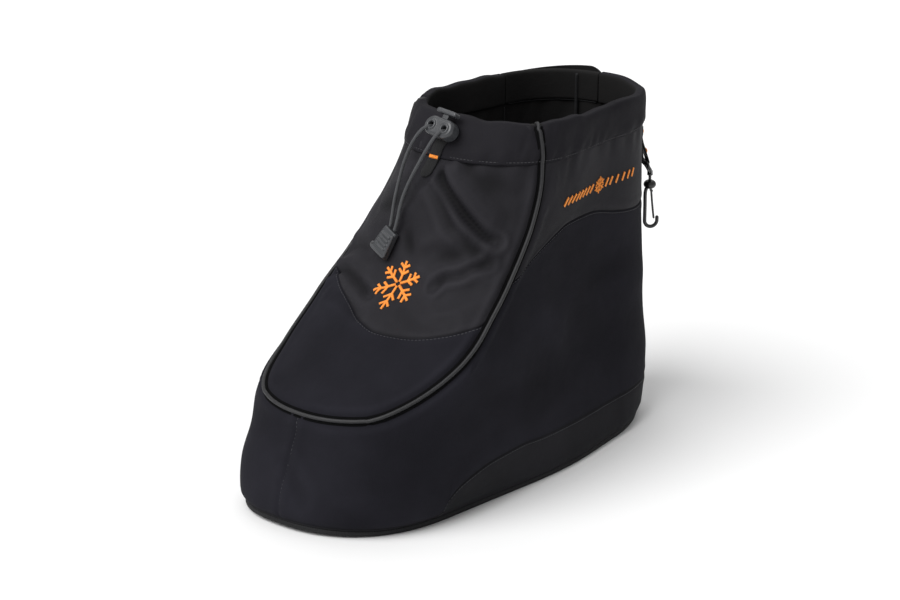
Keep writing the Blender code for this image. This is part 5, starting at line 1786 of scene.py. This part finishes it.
half = LOOP_WIDTH / 2 + GAP + RING_BAR
lean = SWIVEL_OFFSET
bar_end = (0, half - RING_BAR, 0)
bend = (
    (0.1 * lean, half - 0.3 * RING_BAR, -0.3 * RING_BAR), (0.2 * lean, half, -RING_BAR),
    (0.6 * lean, 0.82 * half, -0.6 * RING_DROP), (lean, 0.3 * half, -RING_DROP),
)
mirrored = [(out, -across, up) for out, across, up in reversed(bend)]
eye = [(0, -half + RING_BAR, 0), (0, 0, 0), bar_end, *bend, *mirrored]
ring_solid = rod_solid(closed_through(eye, 90), RING_BAR / 2, 14, closed=True)
post_middle = -0.5 * (RING_DROP + BALL_DROP)
post = upright(lean, (-RING_DROP, post_middle, -BALL_DROP), POST / 2)
head_heights = (-BALL_DROP + POST_HEAD / 4, -BALL_DROP, -BALL_DROP - POST_HEAD / 4)
head = upright(lean, head_heights, POST_HEAD / 2 - 0.0001)
boss_heights = (-RING_DROP + 0.0006, -RING_DROP - 0.001, -RING_DROP - 0.0026)
boss = upright(lean, boss_heights, BOSS_RADIUS)
ring_solid = joined(ring_solid, [boss, post, head], "UNION")
clip_axes = (CLIP_OUT, CLIP_ACROSS, Vector((0.0, 0.0, 1.0)))
clip_seat = seat_matrix(CLIP_PIVOT, *clip_axes)
clip_ring = moulded("clip_eye", ring_solid, 0.00022, 2, CLIP_PLASTIC, clip_seat)
settle(clip_ring, "ring", "clip_ring", slot="clip_plastic")

# %% [markdown]
# The hook is a flattened ball with a J-shaped rod below it. The ball is cut hollow from above, a
# little wider than the eye's post and head, so the two pieces turn without touching. The rod runs
# down, round a half circle and up to the tip.

# %% The clip's hook
sphere = bmesh.new()
bmesh.ops.create_uvsphere(sphere, u_segments=32, v_segments=20, radius=BALL)
bmesh.ops.scale(sphere, vec=(1.0, 1.0, BALL_FLAT), verts=sphere.verts)
data = bpy.data.meshes.new("ball")
sphere.to_mesh(data)
sphere.free()
ball = linked("ball", data)
bottom = HOOK_DROP - BALL_DROP - HOOK_ROD / 2
centre = HOOK_ROUND - HOOK_SPINE
path = [
    (-0.7 * HOOK_SPINE, 0, -0.45 * BALL), (-HOOK_SPINE, 0, -1.4 * BALL),
    (-HOOK_SPINE, 0, -0.5 * bottom),
]
for angle in np.radians(range(180, 361, 15)):
    out, up = HOOK_ROUND * math.cos(angle), HOOK_ROUND * math.sin(angle)
    path.append((centre + out, 0, HOOK_ROUND - bottom + up))
path.append((centre + HOOK_ROUND, 0, HOOK_ROUND - bottom + HOOK_TIP))
hook_solid = joined(ball, [rod_solid(through(path, 90), HOOK_ROD / 2, 16)], "UNION")
neck = upright(0, (-0.0002, BALL / 2, 2 * BALL), POST / 2 + GAP + 0.0001, 20)
hollow = POST_HEAD / 4 + 2 * GAP
cavity = upright(0, (-hollow, 0, hollow), POST_HEAD / 2 + GAP, 20)
hook_solid = joined(hook_solid, [neck, cavity], "DIFFERENCE")
hook_seat = CLIP_PIVOT + CLIP_OUT * SWIVEL_OFFSET - Vector((0.0, 0.0, BALL_DROP))
hook_matrix = seat_matrix(hook_seat, *clip_axes)
clip_hook = moulded("clip_hook_body", hook_solid, 0.00022, 2, CLIP_PLASTIC, hook_matrix)
settle(clip_hook, "hook", "clip_hook", slot="clip_plastic")

# %% [markdown]
# The gate is a springy tongue that closes the hook. It is a thin bent rod with a small round head,
# which stands for its root. Its tip rests inside the hook's tip.

# %% The clip's gate
hinge = (GATE_OFFSET, -(BALL * BALL_FLAT + GAP + GATE_HEAD / 2))
inside = 2 * HOOK_ROUND - HOOK_SPINE - HOOK_ROD / 2 - GAP - GATE_ROD / 2
tip = (inside, HOOK_ROUND - bottom + 0.35 * HOOK_TIP)
reach_out, reach_down = tip[0] - hinge[0], tip[1] - hinge[1]
gate_line = [(0, 0, 0), (0.45 * reach_out, 0, 0.5 * reach_down), (reach_out, 0, reach_down)]
gate_solid = rod_solid(through(gate_line, 30), GATE_ROD / 2, 12)
head_line = [(0, y, 0) for y in (-HOOK_ROD / 2, 0, HOOK_ROD / 2)]
gate_head = rod_solid(head_line, GATE_HEAD / 2, 14, domed=False)
gate_solid = joined(gate_solid, [gate_head], "UNION")
gate_seat = CLIP_PIVOT + CLIP_OUT * (SWIVEL_OFFSET + hinge[0])
gate_seat = gate_seat - Vector((0.0, 0.0, BALL_DROP - hinge[1]))
gate_matrix = seat_matrix(gate_seat, *clip_axes)
clip_gate = moulded("clip_gate_tongue", gate_solid, 0.0002, 2, CLIP_PLASTIC, gate_matrix)
settle(clip_gate, "gate", "clip_gate", slot="clip_plastic")

# %% [markdown]
# The sole is one panel of tough coated cloth under the foot. Its edge shows as a thin line at the
# toe. Above it, inside, lies a padded floor with a soft crown. Both are closed slabs made of rings
# that follow the foot's outline and shrink to its middle line, so the edge can be rounded exactly.

# %% The sole and the padded floor
floor_turns = even_turns(240)


def floor_ring(height, offset):
    level = level_of(SOLE)
    reach = (offset + foot_bulge(level, floor_turns) * (offset > -0.003))[:, None]
    ring = form(level, floor_turns) + outward(level, floor_turns, flat=True) * reach
    ring[:, 2] += height - SOLE
    return ring


def slab(name, rings, finish, shrink, crown=0.0):
    """A closed slab: rings up its side, and rings that shrink to its middle line at both ends."""
    along = rings[0][:, 1]
    middle_y = np.clip(along, along.min() + 0.05, along.max() - 0.05)
    top, low = [], []
    for share in shrink:
        for edge_ring, pile, lift in ((rings[-1], top, crown), (rings[0], low, 0.0)):
            moved = edge_ring.copy()
            moved[:, 0] += (FORM_SHIFT[0] - edge_ring[:, 0]) * share
            moved[:, 1] += (middle_y - edge_ring[:, 1]) * share
            moved[:, 2] += (edge_ring[:, 2].min() - edge_ring[:, 2]) * share
            moved[:, 2] += lift * math.sin(share * math.pi / 2)
            pile.append(moved)
    stack = low[::-1] + rings + top
    points = np.concatenate(stack)
    faces = grid_faces(len(stack), len(along), wrap=True)
    made = make_piece(name, points, faces, finish, points[:, :2])
    work = bmesh.new()
    work.from_mesh(made.data)
    loose = [edge for edge in work.edges if edge.is_boundary]
    bmesh.ops.holes_fill(work, edges=loose, sides=0)
    bmesh.ops.recalc_face_normals(work, faces=work.faces)
    work.to_mesh(made.data)
    work.free()
    made.data.shade_smooth()
    return made


round_edge = (
    (0.0, -0.001), (0.0004, -0.0003), (0.0012, 0.0),
    (SOLE - 0.001, 0.0), (SOLE - 0.0003, -0.0003), (SOLE, -0.0009),
)
sole_rings = [floor_ring(height, inset) for height, inset in round_edge]
sole = slab("sole_panel", sole_rings, SOLE_CLOTH, (0.1, 0.3, 0.6, 0.9))
settle(sole, "shoe", "outsole", slot="sole_fabric")
inset_by = -(WALL + 2 * GAP)
pad_edge = (
    (0.0, -0.001), (0.0006, -0.0003), (0.0018, 0.0),
    (INSOLE - 0.0018, 0.0), (INSOLE - 0.0008, -0.0006), (INSOLE - 0.0004, -0.0016),
)
pad_rings = [floor_ring(SOLE + GAP + height, inset_by + inset) for height, inset in pad_edge]
pad_shares = (0.04, 0.08, 0.14, 0.22, 0.35, 0.55, 0.8, 0.95)
pad = slab("padded_floor", pad_rings, LINING, pad_shares, crown=0.0008)
settle(pad, "shoe", "insole", slot="lining_fabric")

# %% [markdown]
# Every seam is sewn. A stitch is a small lens of thread that repeats along a line on the cloth, so
# all stitches are one Geometry Nodes tree: lines on the cloth, even steps, one grain on each.

# %% Lines on the cloth
def cloth_line(places, offset=0.0, count=240):
    """A line on the shell's outer face through levels and turns, with its outward directions."""
    level, turn = through(places, count).T
    lift = shell_lift(level, turn)
    return skin(level, turn, lift + offset), outward(level, turn)


def seam_line(seam, start, end, below, count=400):
    """A line that runs beside a seam, a distance below it."""
    turn = np.linspace(start, end, count)
    level = seam(turn)
    pace = np.linalg.norm(form(level + 0.01, turn) - form(level, turn), axis=1) / 0.01
    level = level - below / pace
    return skin(level, turn, shell_lift(level, turn) + 0.0001), outward(level, turn)


def hem_line(start, end, drop, count=500):
    turn = np.linspace(start, end, count)
    drops = np.full(count, drop)
    offset = casing_face(drops) - 0.0001
    return collar_point(turn, drops, offset), outward(2.0 - drops / SHAFT, turn)


toe_line = cloth_line([(level, 0.0035) for level in (0.955, 0.7, 0.4, 0.1)], 0.0001, 90)
print("toe stitches:", round(walked(toe_line[0])[-1], 3), "m")

# %% [markdown]
# Each row of stitches runs a needle's width beside its seam, as a maker's machine sews it. One
# grain of thread about 2 mm long repeats along all of them.

# %% The stitches
STITCH_STEP = 0.0026
stitch_lines = [
    seam_line(main_seam, -0.285, 0.338, 0.0016),
    seam_line(main_seam, -0.285, 0.338, 0.0044),
    seam_line(main_seam, 0.384, 1.06, 0.0016),
    seam_line(main_seam, -0.7, -0.352, 0.0016),
    seam_line(rand_seam, 0.352, 1.0, 0.0016),
    seam_line(rand_seam, -1.0, -0.352, 0.0016),
    hem_line(FLAP_ROOT_TURN - 1.996, -0.02, 0.0232),
    hem_line(0.045, FLAP_FREE_TURN - 0.004, 0.0232),
    toe_line,
]
grain = grain_of_thread(0.0021, 0.0004, 0.00032)
stitches = repeated("seam_stitches", stitch_lines, STITCH_STEP, grain, THREAD)
settle(stitches, "shoe", slot="shell_fabric")

# %% [markdown]
# The embroidery is satin stitch: short threads laid side by side across each bar of the pattern.
# An image texture could show it, but real threads stand up from the cloth and catch the light. A
# pattern is drawn flat, in metres round a place, and carried on to the cloth. The threads repeat,
# so the same tree lays them.

# %% Satin stitch
SATIN_STEP = 0.00036
BRANCH_ANGLE = 52


def flat_patch(level, turn):
    """A map from metres round a place to points on the cloth."""
    step = 0.004
    up_span = form(level + step, turn) - form(level - step, turn)
    round_span = form(level, turn + step) - form(level, turn - step)
    pace_up, pace_round = (np.linalg.norm(span) / (2 * step) for span in (up_span, round_span))

    def put(across, up, offset):
        levels = level + np.asarray(up, float) / pace_up
        places = turn + np.asarray(across, float) / pace_round
        return skin(levels, places, shell_lift(levels, places) + offset), outward(levels, places)
    return put


def satin_bars(put, bars, offset):
    """The lines on the cloth for the bars of a pattern, with their outward directions."""
    lines = []
    for (x0, y0), (x1, y1) in bars:
        count = max(4, int(math.hypot(x1 - x0, y1 - y0) / 0.001))
        lines.append(put(np.linspace(x0, x1, count), np.linspace(y0, y1, count), offset))
    return lines


def snowflake(radius, branches):
    """The bars of a six-pointed snowflake about the origin."""
    bars = []
    for arm in range(6):
        angle = math.radians(90 + 60 * arm)
        way = np.array([math.cos(angle), math.sin(angle)])
        bars.append((0.1 * radius * way, radius * way))
        for share, length in branches:
            for side in (-1, 1):
                tilt = angle + side * math.radians(BRANCH_ANGLE)
                start = share * radius * way
                end = start + length * radius * np.array([math.cos(tilt), math.sin(tilt)])
                bars.append((start, end))
    return bars


print("bars of a snowflake:", len(snowflake(1.0, ((0.42, 0.3), (0.7, 0.26)))))

# %% [markdown]
# A six-pointed snowflake, which any winter clothing may carry, stands on the vamp.

# %% The snowflake on the vamp
vamp_bars = snowflake(0.0188, ((0.42, 0.3), (0.7, 0.26)))
vamp_lines = satin_bars(flat_patch(1.38, 0.002), vamp_bars, 0.00035)
satin = grain_of_thread(SATIN_STEP * 1.5, 0.0024, 0.0011)
emblem = repeated("vamp_snowflake", vamp_lines, SATIN_STEP, satin, ORANGE)
settle(emblem, "shoe", slot="shell_fabric")

# %% [markdown]
# A band of slanted bars runs round the outer side, with a small snowflake in a gap. Each bar has
# its own flat patch, so that all of them slant alike although the cloth turns.

# %% The band on the side
BAND_START, BAND_END, BAND_BARS = 0.452, 0.742, 17
BAND_GAP, FLAKE_BAR = (8, 9, 10), 9
SLANTED_BAR = ((-0.002, -0.0026), (0.001, 0.0026))
band_lines = []
band_places = np.linspace(BAND_START, BAND_END, BAND_BARS)
for index, place in enumerate(band_places):
    if index not in BAND_GAP:
        band_lines += satin_bars(flat_patch(1.672, place), [SLANTED_BAR], 0.0003)
flake_bars = snowflake(0.0058, ((0.5, 0.42),))
flake_lines = satin_bars(flat_patch(1.673, band_places[FLAKE_BAR]), flake_bars, 0.0003)
satin_fine = grain_of_thread(SATIN_STEP * 1.5, 0.0024, 0.001)
band = repeated("side_band", band_lines, SATIN_STEP, satin_fine, ORANGE)
flake_grain = grain_of_thread(SATIN_STEP * 1.5, 0.0012, 0.0009)
flake = repeated("side_snowflake", flake_lines, SATIN_STEP, flake_grain, ORANGE)
settle(band, "shoe", slot="shell_fabric")
settle(flake, "shoe", slot="shell_fabric")

# %% [markdown]
# A bar tack is a short block of dense zigzag that holds an end under load: one on the front tab
# and two on the back loop, in orange thread. It is satin stitch too, with wider threads.

# %% The bar tacks
TACK_POINTS = 8
TAB_TACK_DROP = 0.025
drops = np.full(TACK_POINTS, TAB_TACK_DROP)
across = np.linspace(-0.003, 0.003, TACK_POINTS) * TURN_PER_METRE
turn = tab_middle(drops) + across
seat = overlay_seat(drops, 0.03) + TAB_CLOTH + 0.0001
tack_grain = grain_of_thread(SATIN_STEP * 1.5, 0.003, 0.001)
tacks = [(collar_point(turn, drops, seat), outward(2.0 - drops / SHAFT, turn))]
for rise_up in (0.0235, 0.0085):
    height_share = (rise_up - wall[2][1]) / (wall[0][1] - wall[2][1])
    if height_share > 0:
        out = wall[2][0] + (wall[0][0] - wall[2][0]) * height_share + 1.5 * TAB_CLOTH
    else:
        ends = (fold + TAB_CLOTH / 2, wall[2][0] + 1.5 * TAB_CLOTH)
        out = np.interp(rise_up, (fold, wall[2][1]), ends)
    line = on_clip([(out, a, rise_up) for a in np.linspace(-0.0042, 0.0042, TACK_POINTS)])
    tacks.append((line, np.tile(np.array(CLIP_OUT), (TACK_POINTS, 1))))
bar_tacks = repeated("bar_tacks", tacks, SATIN_STEP, tack_grain, ORANGE)
settle(bar_tacks, "shoe", slot="webbing")
for helper in (grain, satin, satin_fine, flake_grain, tack_grain):
    bpy.data.objects.remove(helper, do_unlink=True)

# %% [markdown]
# The stage is plain: a pale floor that takes the shadow. It is not a piece of the shoe.

# %% The floor
FLOOR_HALF = 6.0
floor_mesh = bpy.data.meshes.new("floor")
corners = [(x * FLOOR_HALF, y * FLOOR_HALF, 0.0) for x, y in ((-1, -1), (1, -1), (1, 1), (-1, 1))]
floor_mesh.from_pydata(corners, [], [(0, 1, 2, 3)])
floor = linked("floor", floor_mesh)
floor_finish, _, _ = new_finish("pale floor", (0.86, 0.86, 0.86), 0.9)
floor_mesh.materials.append(floor_finish)
print("floor:", 2 * FLOOR_HALF, "m wide")

# %% [markdown]
# One large soft light comes from the front, a little to the left, and two weaker ones from the side
# and behind. The world is pale but weak, because an even glow would wash out the folds of black
# cloth. A sun with a wide angle gives soft shadows without a place of its own.

# %% The world and the lights
world = bpy.data.worlds.new("studio")
bpy.context.scene.world = world
world.use_nodes = True
sky = world.node_tree.nodes["Background"]
sky.inputs["Color"].default_value = (1.0, 1.0, 1.0, 1.0)
sky.inputs["Strength"].default_value = 0.45
LIGHTS = (
    ("key", 345, 52, 50.0, 2.9),
    ("side", 92, 30, 50.0, 0.05),
    ("rim", 215, 55, 50.0, 0.6),
)
for name, azimuth, elevation, spread, power in LIGHTS:
    a, e = math.radians(azimuth), math.radians(elevation)
    way = Vector((math.sin(a) * math.cos(e), -math.cos(a) * math.cos(e), math.sin(e)))
    lamp = bpy.data.lights.new(name, "SUN")
    lamp.angle = math.radians(spread)
    lamp.energy = power
    light = linked(name, lamp)
    light.location = Vector((0.0, 0.0, 0.12)) + way * 2.0
    light.rotation_mode = "QUATERNION"
    light.rotation_quaternion = (-way).to_track_quat("-Z", "Y")
bpy.context.scene.view_settings.view_transform = "Standard"
print("lights:", len(LIGHTS))
